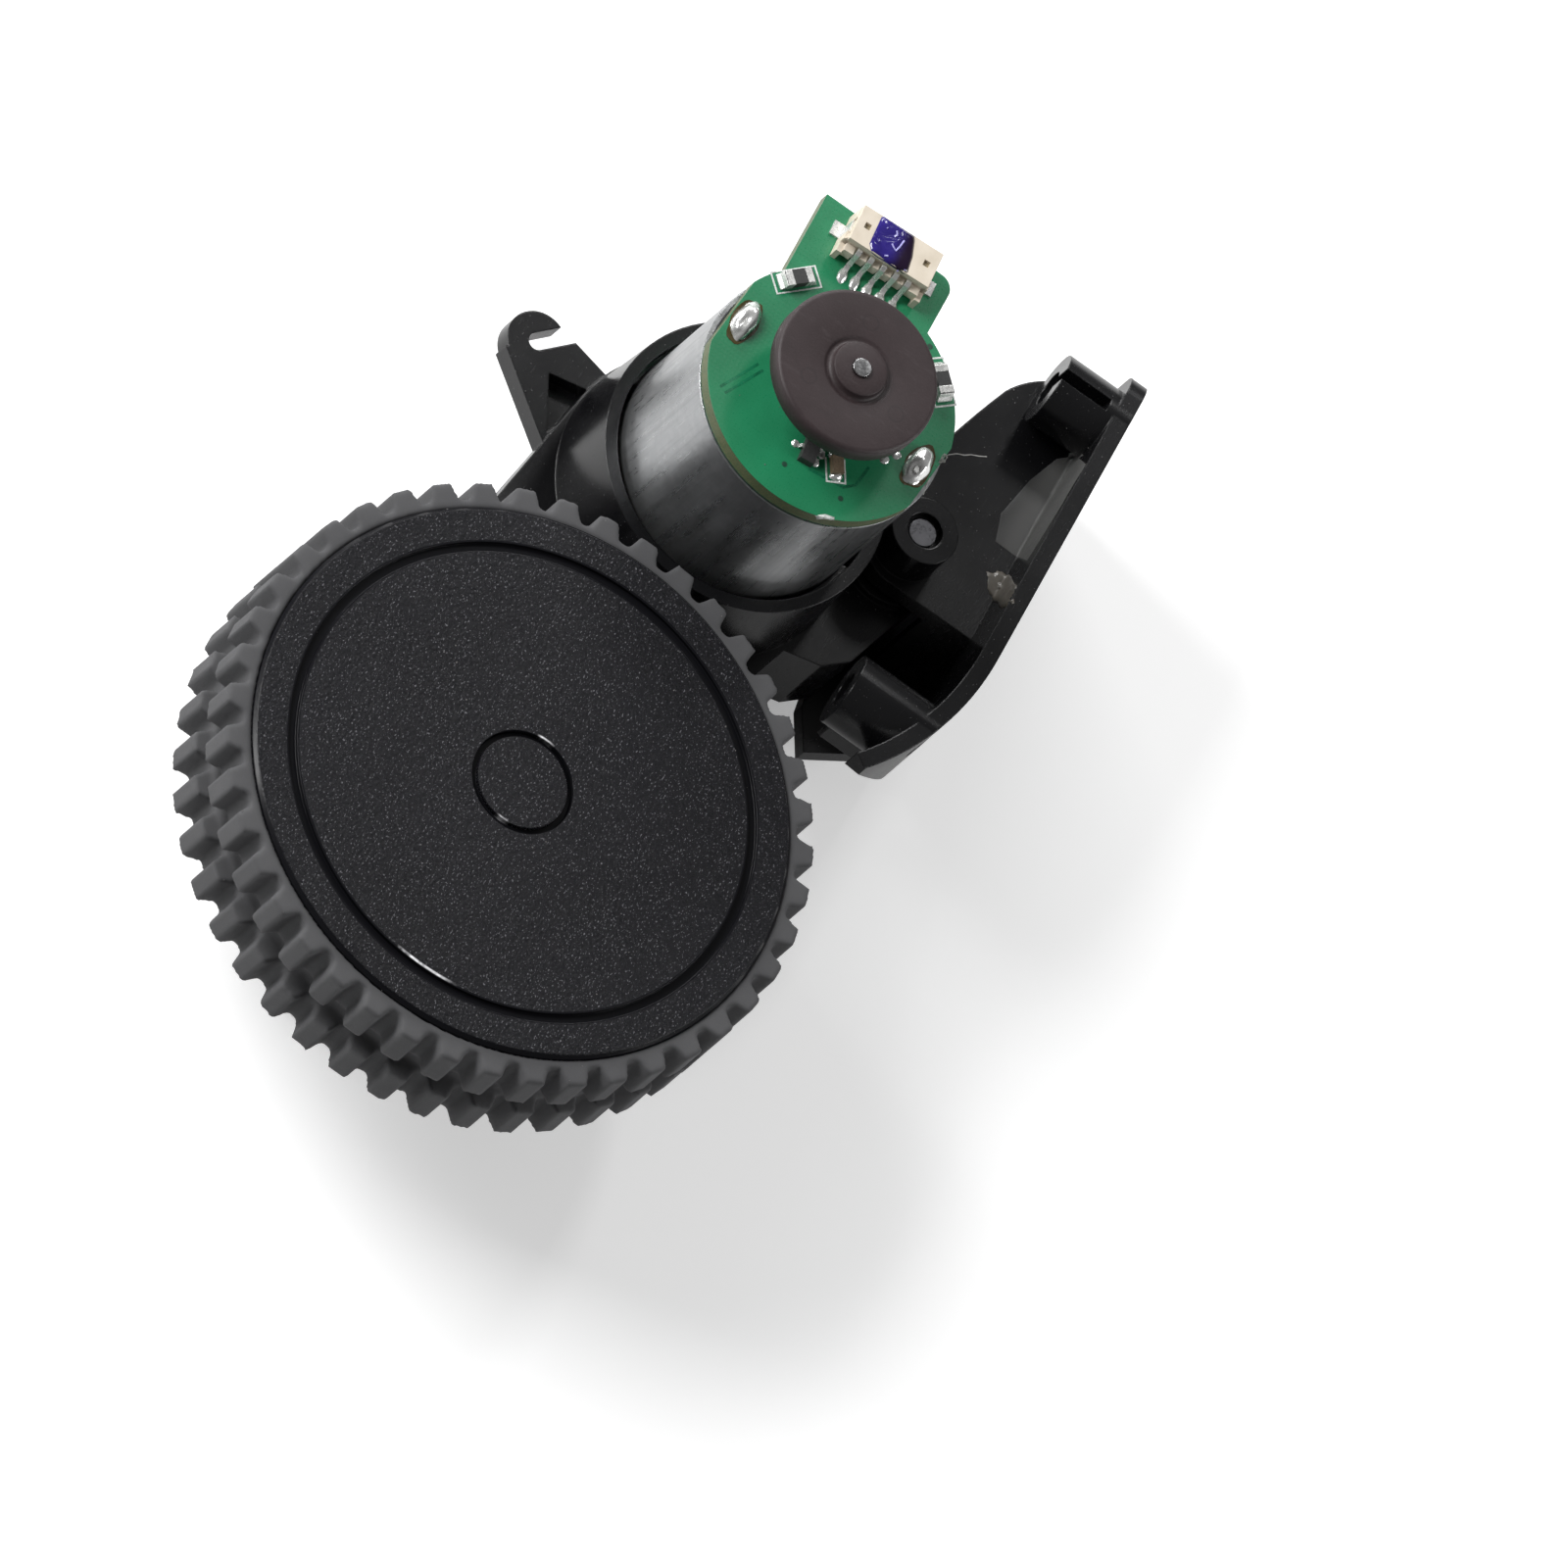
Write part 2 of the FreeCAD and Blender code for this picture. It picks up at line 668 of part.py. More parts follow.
def gearbox_housing():
    flange = case_face(motor_lobe_radius, wheel_lobe_radius)
    outer = case_face(motor_case_radius, wheel_case_radius)
    inner = outer.makeOffset2D(-gear_case_wall)
    motor_core = cylinder(motor, cup_body_radius, cup_floor_z, case_front_z)
    pocket = raised(inner, case_split_z, case_front_inner_z).cut(motor_core)
    cup = Part.makeCone(
        cup_foot_radius,
        cup_rim_radius,
        cup_rim_z - case_front_z,
        Vector(motor[0], motor[1], case_front_z),
        Vector(0, 0, 1),
    )
    hub_rear = rear_cheek_front_z + axial_gap
    hub_front = front_cheek_rear_z - axial_gap
    neck = raised(lobe_face(pivot, hub_radius, motor, motor_case_radius), hub_rear, case_front_z)
    web = prism([(pivot_x + x, pivot_y + y) for x, y in neck_web], hub_rear, case_front_z)
    pieces = [
        raised(flange, case_flange_z, case_front_z),
        raised(outer, case_split_z, case_front_z),
        motor_core,
        cup,
        neck,
        web,
        cylinder(pivot, hub_radius, hub_rear, hub_front),
        hook(),
        cylinder(wheel, axle_boss_radius, case_front_inner_z, axle_boss_front_z),
    ]
    for place in case_screw_places():
        pieces.append(cylinder(place, case_ear_radius, case_split_z, case_split_z + case_ear_depth))
    body = joined(pieces).cut(pocket)
    first_pad = cylinder(wheel, axle_boss_radius, third_gear_front_z + axial_gap / 2, case_front_inner_z)
    body = joined([body, first_pad])
    ledge_z = cup_rim_z - cup_ledge_depth
    cutters = [
        cylinder(motor, cup_mouth_radius, ledge_z, cup_rim_z + 1.0),
        cylinder(motor, can_radius + seat_gap, motor_seat_z, cup_rim_z),
        cylinder(motor, can_boss_radius + seat_gap, cup_floor_z - 1.0, motor_seat_z),
        cylinder(pivot, pin_radius + running_gap, hub_rear - 1.0, hub_front + 1.0),
        cylinder(wheel, axle_bush_radius, axle_boss_front_z - axle_bush_length, axle_boss_front_z + 1.0),
        cylinder(wheel, axle_radius + seat_gap, third_gear_front_z, axle_boss_front_z),
        cylinder(first_gear, gear_pin_radius, cup_floor_z - 1.0, cup_floor_z + gear_pin_seat),
        cylinder(second_gear, gear_pin_radius, case_front_inner_z - 1.0, case_front_inner_z + gear_pin_seat),
    ]
    for step in range(scallop_count):
        place = polar(motor, scallop_centre_radius, 360.0 * step / scallop_count)
        cutters.append(cylinder(place, scallop_radius, ledge_z - scallop_depth, ledge_z + 0.1))
    for place in motor_screw_places():
        cutters.append(cylinder(place, motor_screw_radius + seat_gap, cup_floor_z - 1.0, motor_seat_z + 0.1))
    for place in case_screw_places():
        top = case_rear_z + case_screw_head_height + case_screw_length
        cutters.append(cylinder(place, case_screw_radius, case_split_z - 1.0, top))
    return body.cut(cutters).removeSplitter()


def gearbox_cover():
    pieces = [raised(case_face(motor_case_radius, wheel_case_radius), case_rear_z, case_split_z)]
    for place in case_screw_places():
        pieces.append(cylinder(place, case_ear_radius, case_rear_z, case_split_z))
    pieces.append(cylinder(wheel, axle_boss_radius, case_split_z, second_gear_front_z))
    body = joined(pieces)
    bush_rear = case_rear_z + 0.8
    cutters = [cylinder(wheel, axle_bush_radius, bush_rear, second_gear_front_z + 1.0)]
    for place in (first_gear, second_gear):
        cutters.append(cylinder(place, gear_pin_radius, case_split_z - gear_pin_seat, case_split_z + 1.0))
    for place in case_screw_places():
        cutters.append(cylinder(place, case_screw_radius, case_rear_z - 1.0, case_split_z + 1.0))
        head_top = case_rear_z + case_screw_head_height + seat_gap
        cutters.append(cylinder(place, case_screw_head_radius + seat_gap, case_rear_z - 1.0, head_top))
    return body.cut(cutters).removeSplitter()


def cover_screws():
    screws = []
    for place in case_screw_places():
        head_low = case_rear_z + seat_gap
        head_top = head_low + case_screw_head_height
        head = cylinder(place, case_screw_head_radius, head_low, head_top)
        shank = cylinder(place, case_screw_radius, head_top, head_top + case_screw_length - 2 * seat_gap)
        screws.append(joined([head, shank]))
    return Part.makeCompound(screws)


def gear_pin(place, z_front):
    return cylinder(place, gear_pin_radius, case_split_z - gear_pin_seat, z_front)


# Reduction gears


def reduction_gear_1():
    wheel_part = gear(
        first_gear,
        first_module,
        first_teeth,
        -pinion_shift,
        first_phase,
        first_gear_rear_z,
        first_gear_front_z,
    )
    pinion = gear(
        first_gear,
        second_module,
        second_pinion_teeth,
        pinion_shift,
        second_pinion_phase,
        second_gear_rear_z,
        first_gear_rear_z,
    )
    bore = cylinder(first_gear, gear_pin_radius + running_gap, case_split_z, cup_floor_z)
    return joined([wheel_part, pinion]).cut(bore)


def reduction_gear_2():
    wheel_part = gear(
        second_gear,
        second_module,
        second_teeth,
        -pinion_shift,
        second_phase,
        second_gear_rear_z,
        second_gear_front_z,
    )
    neck = cylinder(second_gear, gear_neck_radius, second_gear_front_z, third_gear_rear_z)
    pinion = gear(
        second_gear,
        third_module,
        third_pinion_teeth,
        pinion_shift,
        third_pinion_phase,
        third_gear_rear_z,
        third_gear_front_z,
    )
    bore = cylinder(second_gear, gear_pin_radius + running_gap, case_split_z, case_front_z)
    return joined([wheel_part, neck, pinion]).cut(bore)


def output_gear():
    blank = gear(
        wheel, third_module, output_teeth, -pinion_shift, output_phase, third_gear_rear_z, third_gear_front_z
    )
    hub = cylinder(wheel, axle_boss_radius, second_gear_front_z + axial_gap, third_gear_rear_z)
    root = third_module * (output_teeth / 2 - dedendum - pinion_shift)
    web_cut = ring(wheel, root - case_wall, axle_boss_radius, third_gear_rear_z, third_gear_rear_z + 1.6)
    bore = cylinder(wheel, axle_radius, case_rear_z, case_front_z)
    return joined([blank, hub]).cut([web_cut, bore])


def motor_pinion():
    low = first_gear_rear_z - axial_gap
    high = first_gear_front_z
    blank = gear(motor, first_module, motor_teeth, pinion_shift, motor_pinion_phase, low, high)
    return blank.cut(cylinder(motor, shaft_radius, low, high))


# Motor


def motor_screw_places():
    """Two screws on the line across the gear train's direction."""
    across = bearing(motor, first_gear) + 90.0
    return [polar(motor, motor_screw_spread, across), polar(motor, motor_screw_spread, across + 180.0)]


def motor_can():
    front = motor_seat_z
    boss = front - can_boss_height
    profile = [
        (bush_radius, boss),
        (can_boss_radius, boss),
        (can_boss_radius, front),
        (can_radius - 0.8, front),
        (can_radius, front + 0.8),
        (can_radius, can_rear_z - end_cap_lip),
        (can_radius - can_wall, can_rear_z - end_cap_lip),
        (can_radius - can_wall, front + can_wall),
        (bush_radius, front + can_wall),
    ]
    holes = []
    for place in motor_screw_places():
        holes.append(cylinder(place, motor_screw_radius, front - 1.0, front + 2 * can_wall))
    return lathe(motor, profile).cut(holes)


def motor_end_cap():
    inner_top = can_rear_z - end_cap_lip
    plug_low = inner_top - end_cap_depth
    profile = [
        (bush_radius, plug_low),
        (can_radius - can_wall, plug_low),
        (can_radius - can_wall, inner_top),
        (can_radius - can_wall / 2, inner_top),
        (can_radius - can_wall / 2, can_rear_z),
        (bush_radius, can_rear_z),
    ]
    cuts = [terminal_strip(place, turn) for place, turn in terminal_places()]
    return lathe(motor, profile).cut(cuts)


def motor_magnets():
    low = motor_seat_z + magnet_margin
    high = can_rear_z - magnet_margin
    outer = can_radius - can_wall
    tube = ring(motor, outer, outer - magnet_thickness, low, high)
    reach = 2 * can_radius
    half_span = magnet_span / 2
    arcs = []
    for middle in (90.0, 270.0):
        corners = [motor, polar(motor, reach, middle - half_span), polar(motor, reach, middle)]
        corners.append(polar(motor, reach, middle + half_span))
        arcs.append(tube.common(prism(corners, low, high)))
    return Part.makeCompound(arcs)


def front_bush():
    low = motor_seat_z - can_boss_height
    return ring(motor, bush_radius, shaft_radius + running_gap, low, low + front_bush_length)


def rear_bush():
    high = can_rear_z
    return ring(motor, bush_radius, shaft_radius + running_gap, high - end_cap_depth - end_cap_lip, high)


def motor_shaft():
    return cylinder(motor, shaft_radius, first_gear_rear_z - 2 * axial_gap, shaft_tail_z)


def armature_span():
    return motor_seat_z + armature_margin, can_rear_z - armature_margin - 2.0


def armature_core():
    low, high = armature_span()
    body = ring(motor, armature_radius, shaft_radius, low, high)
    slots = []
    for step in range(armature_slots):
        middle = 360.0 * step / armature_slots
        place = polar(motor, (armature_radius + slot_floor_radius) / 2 + 0.5, middle)
        size = (armature_radius - slot_floor_radius + 1.0, slot_width, high - low)
        slots.append(block(place, size, low, middle))
    return body.cut(slots)


def armature_windings():
    low, high = armature_span()
    pieces = [
        ring(motor, winding_radius, winding_core_radius, low - winding_overhang, low),
        ring(motor, winding_radius, winding_core_radius, high, high + winding_overhang),
    ]
    for step in range(armature_slots):
        middle = 360.0 * step / armature_slots
        place = polar(motor, (winding_radius + slot_floor_radius) / 2, middle)
        size = (winding_radius - slot_floor_radius, slot_width, high - low)
        pieces.append(block(place, size, low, middle))
    return joined(pieces)


def commutator():
    low = armature_span()[1] + winding_overhang
    return ring(motor, commutator_radius, shaft_radius, low, low + commutator_length)


def brushes():
    top = can_rear_z - end_cap_lip - end_cap_depth
    pair = []
    for middle in (0.0, 180.0):
        place = polar(motor, commutator_radius + running_gap + brush_length / 2, middle)
        pair.append(block(place, (brush_length, brush_width, brush_height), top - brush_height, middle))
    return Part.makeCompound(pair)


def motor_screws():
    screws = []
    for place in motor_screw_places():
        head_low = cup_floor_z - motor_screw_head_height
        head = cylinder(place, motor_screw_head_radius, head_low, cup_floor_z)
        shank = cylinder(place, motor_screw_radius, cup_floor_z, motor_seat_z + can_wall)
        screws.append(joined([head, shank]))
    return Part.makeCompound(screws)


# Encoder board


def terminal_places():
    """Centre and turn of each motor terminal."""
    places = []
    for side in (0.0, 180.0):
        heading = terminal_bearing + side
        places.append((polar(motor, terminal_spread, heading), heading + 90.0))
    return places


def terminal_strip(place, turn):
    low = can_rear_z - end_cap_lip - end_cap_depth
    height = board_face_z + terminal_rise - low
    return block(place, (terminal_width, terminal_thickness, height), low, turn)


def motor_terminals():
    return Part.makeCompound([terminal_strip(place, turn) for place, turn in terminal_places()])


def solder_joints():
    """Loaves of solder over the terminals, flat on the board."""
    loaves = []
    for place, turn in terminal_places():
        half = solder_length / 2
        side = solder_width / 2
        inset = solder_taper
        loaf = Part.makeWedge(
            -half, 0, -side, inset - side, inset - half, half, solder_height, side, side - inset, half - inset
        )
        loaf.rotate(Vector(0, 0, 0), Vector(1, 0, 0), 90.0)
        loaf.rotate(Vector(0, 0, 0), Vector(0, 0, 1), turn)
        loaf.translate(Vector(place[0], place[1], board_face_z))
        loaves.append(loaf.cut(terminal_strip(place, turn)))
    return Part.makeCompound(loaves)


def encoder_board():
    disc = cylinder(motor, board_radius, board_z, board_face_z)
    flats = (4 * board_radius, 2 * (board_radius - board_flat_inset), board_thickness)
    disc = disc.common(block(motor, flats, board_z, terminal_bearing - 90.0))
    left = motor[0] + board_radius / 2
    right = motor[0] + board_radius + tab_length
    corners = [(left, motor[1] + tab_bottom_y), (right, motor[1] + tab_bottom_y)]
    corners += [(right, motor[1] + tab_top_y), (left, motor[1] + tab_top_y)]
    tab = prism(corners, board_z, board_face_z)
    outer_corner = [edge for edge in tab.Edges if is_tab_corner(edge, right)]
    tab = tab.makeFillet(tab_corner_radius, outer_corner)
    cuts = [cylinder(motor, board_hole_radius, board_z, board_face_z)]
    cuts += [terminal_strip(place, turn) for place, turn in terminal_places()]
    return joined([disc, tab]).cut(cuts)


def is_tab_corner(edge, right):
    """True for the upright edge at the tab's lower outer corner."""
    box = edge.BoundBox
    upright = box.ZLength > board_thickness / 2
    return upright and box.XMin > right - 0.1 and box.YMax < motor[1] + tab_bottom_y + 0.1


def on_board(shape, centre, turn):
    """Place a shape drawn about the board's face at an offset from the motor's axis."""
    copy = turned(shape, (0, 0), turn)
    copy.translate(Vector(motor[0] + centre[0], motor[1] + centre[1], board_face_z))
    return copy


def socket_housing():
    """Side-entry wire socket: a box open towards +X, with key slots in its roof."""
    body = block((0, 0), (socket_depth, socket_length, socket_height), 0.0)
    hollow_length = socket_length - 4 * socket_wall
    hollow_size = (socket_depth, hollow_length, socket_height - 2 * socket_wall)
    hollow = block((socket_wall, 0), hollow_size, socket_wall)
    cuts = [hollow]
    for side in (-1, 1):
        key_place = (0.6, side * (hollow_length / 2 - 0.9))
        cuts.append(block(key_place, (1.1, 0.7, socket_height), socket_height - socket_wall))
        notch_y = side * (socket_length / 2)
        cuts.append(block((-socket_depth / 2, notch_y), (1.6, 2.4, socket_height), socket_height / 2))
    return on_board(body.cut(cuts), socket_centre, socket_turn)


def socket_leads():
    """Tinned leads, each a contact in the hollow and a foot on its pad."""
    rear = -socket_depth / 2
    leads = []
    for way in range(socket_ways):
        y = (way - (socket_ways - 1) / 2) * socket_pitch
        foot_reach = lead_reach + lead_thickness
        foot = block((rear - foot_reach / 2, y), (foot_reach, lead_width, lead_thickness), 0.0)
        riser_x = rear - lead_thickness / 2
        riser = block((riser_x, y), (lead_thickness, lead_width, socket_height / 2), 0.0)
        leads.append(joined([foot, riser]))
    return on_board(Part.makeCompound(leads), socket_centre, socket_turn)


def socket_anchors():
    """Tinned anchor tabs at the socket's two ends."""
    anchors = []
    for side in (-1, 1):
        y = side * (socket_length / 2 + tab_foot_length / 4)
        foot = block((0.6, y), (tab_foot_length, tab_foot_length / 2, lead_thickness), 0.0)
        wall_y = side * (socket_length / 2 + lead_thickness / 2)
        wall = block((0.6, wall_y), (tab_foot_length, lead_thickness, socket_height / 2), 0.0)
        anchors.append(joined([foot, wall]))
    return on_board(Part.makeCompound(anchors), socket_centre, socket_turn)


def ferrite_beads():
    beads = []
    for degrees in bead_bearings:
        centre = polar((0, 0), board_radius - bead_inset, degrees)
        beads.append(on_board(block((0, 0), bead_size, 0.0), centre, degrees + 90.0))
    return Part.makeCompound(beads)


def hall_sensor():
    centre = polar((0, 0), board_radius - sensor_inset, sensor_bearing)
    return on_board(block((0, 0), sensor_size, 0.0), centre, sensor_bearing)


def capacitor():
    centre = polar((0, 0), board_radius - capacitor_inset, capacitor_bearing)
    return on_board(block((0, 0), capacitor_size, 0.0), centre, capacitor_bearing)


def encoder_magnet():
    low = magnet_disc_low_z
    high = magnet_disc_high_z
    floor = high - magnet_groove_depth
    profile = [
        (shaft_radius, low),
        (magnet_disc_radius, low),
        (magnet_disc_radius, high - 0.5),
        (magnet_disc_radius - 0.5, high),
        (magnet_groove_radius, high),
        (magnet_groove_radius, floor),
        (magnet_boss_radius, floor),
        (magnet_boss_radius, high + magnet_boss_height - 0.3),
        (magnet_boss_radius - 0.3, high + magnet_boss_height),
        (shaft_radius, high + magnet_boss_height),
    ]
    return lathe(motor, profile)


# Wheel


def wheel_rim():
    face = wheel_face_z
    inner = face - rim_disc_thickness
    seat_front = face - rim_flange_width
    seat_rear = rim_rear_z + rim_rear_flange_width
    barrel = rim_seat_radius - rim_barrel_wall
    screw_seat = axle_front_z + wheel_screw_floor
    profile = [
        (hub_groove_radius, face),
        (rim_groove_radius - rim_groove_width, face),
        (rim_groove_radius - rim_groove_width, face - rim_groove_depth),
        (rim_groove_radius, face - rim_groove_depth),
        (rim_groove_radius, face),
        (rim_flange_radius - rim_edge_chamfer, face),
        (rim_flange_radius, face - rim_edge_chamfer),
        (rim_flange_radius, seat_front),
        (rim_seat_radius, seat_front),
        (rim_seat_radius, seat_rear),
        (rim_flange_radius, seat_rear),
        (rim_flange_radius, rim_rear_z),
        (barrel, rim_rear_z),
        (barrel, inner),
        (hub_boss_radius, inner),
        (hub_boss_radius, hub_boss_rear_z),
        (axle_radius, hub_boss_rear_z),
        (axle_radius, axle_front_z),
        (wheel_screw_radius, axle_front_z),
        (wheel_screw_radius, screw_seat),
        (wheel_screw_head_radius + seat_gap, screw_seat),
        (wheel_screw_head_radius + seat_gap, face - hub_recess_depth),
        (hub_groove_radius, face - hub_recess_depth),
    ]
    pieces = [lathe(wheel, profile)]
    middle_radius = (barrel + hub_boss_radius) / 2
    for step in range(rim_rib_count):
        degrees = 360.0 * step / rim_rib_count
        size = (barrel - hub_boss_radius + 1.0, rib_thickness, rim_rib_height)
        pieces.append(block(polar(wheel, middle_radius, degrees), size, inner - rim_rib_height, degrees))
    return joined(pieces)


def hub_plug():
    foot = wheel_face_z - hub_recess_depth
    top = wheel_face_z
    shoulder = top - hub_groove_depth
    skirt = hub_groove_radius - seat_gap / 2
    crown = hub_groove_radius - hub_groove_width
    profile = [(0, foot), (skirt, foot), (skirt, shoulder), (crown, shoulder), (crown, top), (0, top)]
    return lathe(wheel, profile)


def wheel_screw():
    seat = axle_front_z + wheel_screw_floor
    head = cylinder(wheel, wheel_screw_head_radius, seat, seat + wheel_screw_head_height)
    shank = cylinder(wheel, wheel_screw_radius, axle_front_z - wheel_screw_length, seat)
    return joined([head, shank])


def wheel_axle():
    body = cylinder(wheel, axle_radius, axle_rear_z, axle_front_z)
    bore_low = axle_front_z - wheel_screw_length - 1.0
    return body.cut(cylinder(wheel, wheel_screw_radius, bore_low, axle_front_z))


def axle_bush(z_low, length):
    return ring(wheel, axle_bush_radius, axle_radius + running_gap, z_low, z_low + length)


def lug_points(phase):
    """Outline of one row of lugs: a ring at the root radius with straight-sided lugs."""
    tip_half = math.degrees(lug_tip_width / 2 / tyre_lug_radius)
    foot_half = math.degrees(lug_foot_width / 2 / tyre_root_radius)
    points = []
    for step in range(lug_count):
        middle = phase + 360.0 * step / lug_count
        points.append(polar(wheel, tyre_root_radius, middle - foot_half))
        points.append(polar(wheel, tyre_lug_radius, middle - tip_half))
        points.append(polar(wheel, tyre_lug_radius, middle + tip_half))
        points.append(polar(wheel, tyre_root_radius, middle + foot_half))
    return points


def tyre():
    """Rubber tyre: two rows of lugs, half a pitch apart, either side of a shallow centre groove."""
    front_row = prism(lug_points(lug_phase), tyre_face_z - lug_row_width, tyre_face_z)
    rear_row = prism(lug_points(lug_phase + 180.0 / lug_count), tyre_rear_z, tyre_rear_z + lug_row_width)
    centre = cylinder(wheel, tyre_centre_radius, tyre_rear_z + lug_row_width, tyre_face_z - lug_row_width)
    seat_front = wheel_face_z - rim_flange_width
    seat_rear = rim_rear_z + rim_rear_flange_width
    bore = lathe(
        wheel,
        [
            (0, tyre_rear_z - 1.0),
            (rim_flange_radius, tyre_rear_z - 1.0),
            (rim_flange_radius, seat_rear),
            (rim_seat_radius, seat_rear),
            (rim_seat_radius, seat_front),
            (rim_flange_radius, seat_front),
            (rim_flange_radius, tyre_face_z + 1.0),
            (0, tyre_face_z + 1.0),
        ],
    )
    return joined([front_row, centre, rear_row]).cut(bore)


os.makedirs("parts", exist_ok=True)

save("pivot_bracket", pivot_bracket())
save("pivot_pin", pivot_pin())

save("gearbox_housing", gearbox_housing())
save("gearbox_cover", gearbox_cover())
save("cover_screws", cover_screws())
save("gear_pin_1", gear_pin(first_gear, cup_floor_z + gear_pin_seat))
save("gear_pin_2", gear_pin(second_gear, case_front_inner_z + gear_pin_seat))
save("axle_bush_front", axle_bush(axle_boss_front_z - axle_bush_length, axle_bush_length))
save("axle_bush_rear", axle_bush(case_rear_z + 0.8, second_gear_front_z - case_rear_z - 0.8))
save("motor_can", motor_can())
save("motor_magnets", motor_magnets())
save("motor_end_cap", motor_end_cap())
save("motor_bush_front", front_bush())
save("motor_bush_rear", rear_bush())
save("motor_brushes", brushes())
save("motor_screws", motor_screws())
save("motor_terminals", motor_terminals())
save("solder_joints", solder_joints())
save("encoder_board", encoder_board())
save("socket_housing", socket_housing())
save("socket_leads", socket_leads())
save("socket_anchors", socket_anchors())
save("ferrite_beads", ferrite_beads())
save("hall_sensor", hall_sensor())
save("capacitor", capacitor())

save("motor_shaft", motor_shaft())
save("armature_core", armature_core())
save("armature_windings", armature_windings())
save("commutator", commutator())
save("motor_pinion", motor_pinion())
save("encoder_magnet", encoder_magnet())

save("reduction_gear_1", reduction_gear_1())
save("reduction_gear_2", reduction_gear_2())

save("output_gear", output_gear())
save("wheel_axle", wheel_axle())
save("wheel_rim", wheel_rim())
save("tyre", tyre())
save("hub_plug", hub_plug())
save("wheel_screw", wheel_screw())
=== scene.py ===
import json
import math
import random

import bmesh
import bpy
from mathutils import Matrix, Vector, noise
from mathutils.bvhtree import BVHTree


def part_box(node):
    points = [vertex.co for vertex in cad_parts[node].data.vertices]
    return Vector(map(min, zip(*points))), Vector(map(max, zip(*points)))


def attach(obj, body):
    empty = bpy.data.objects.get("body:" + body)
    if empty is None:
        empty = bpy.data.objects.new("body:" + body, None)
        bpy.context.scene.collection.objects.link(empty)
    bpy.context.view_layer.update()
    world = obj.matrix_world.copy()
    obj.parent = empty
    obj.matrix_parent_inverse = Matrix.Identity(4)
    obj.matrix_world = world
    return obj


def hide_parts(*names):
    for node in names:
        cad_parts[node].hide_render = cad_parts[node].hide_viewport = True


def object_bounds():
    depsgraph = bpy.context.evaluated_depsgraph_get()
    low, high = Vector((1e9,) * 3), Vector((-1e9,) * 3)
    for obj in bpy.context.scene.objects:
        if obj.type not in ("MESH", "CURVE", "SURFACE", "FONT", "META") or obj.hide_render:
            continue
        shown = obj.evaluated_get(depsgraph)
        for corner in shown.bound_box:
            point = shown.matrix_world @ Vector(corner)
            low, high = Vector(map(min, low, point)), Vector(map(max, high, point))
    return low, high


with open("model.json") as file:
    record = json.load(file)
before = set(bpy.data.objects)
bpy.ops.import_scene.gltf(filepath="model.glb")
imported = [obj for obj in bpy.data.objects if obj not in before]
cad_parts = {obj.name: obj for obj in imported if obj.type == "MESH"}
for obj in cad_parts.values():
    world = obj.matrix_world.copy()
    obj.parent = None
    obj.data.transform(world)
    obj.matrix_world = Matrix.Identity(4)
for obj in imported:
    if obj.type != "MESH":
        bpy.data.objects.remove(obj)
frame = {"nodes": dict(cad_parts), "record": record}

cad_low, cad_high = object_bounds()

# Lengths are written in millimetres and scaled to metres. The frame is the CAD frame: +Z along the
# wheel's axle towards its face, +X along the bracket's plate, +Y from the plate to the arm.
MM = 0.001
WHEEL = Vector((-58.7, 32.1))
MOTOR = Vector((-9.0, 26.9))
nodes = frame["nodes"]
random.seed(7)
board_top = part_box("encoder_board")[1].z
board_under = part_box("encoder_board")[0].z

# The photograph's line of sight, its width in pixels, its pixels per millimetre, and the pixel of a
# point on the wheel's axle. What the code calls picture points are in these pixels.
PICTURE = 1600.0
SCALE = 10.03
ANCHOR = Vector((WHEEL.x, WHEEL.y, 8.0))
ANCHOR_PIXEL = (533.6, 798.0)
SIGHT_START = 300.0
CAMERA_DISTANCE = 600.0
RIGHT = Vector((0.4128, -0.8066, 0.4224)).normalized()
BACK = Vector((-0.5339, 0.1612, 0.8297)).normalized()
UP = BACK.cross(RIGHT).normalized()
VIEW = (UP.cross(BACK), UP, BACK)


# Node graph helpers


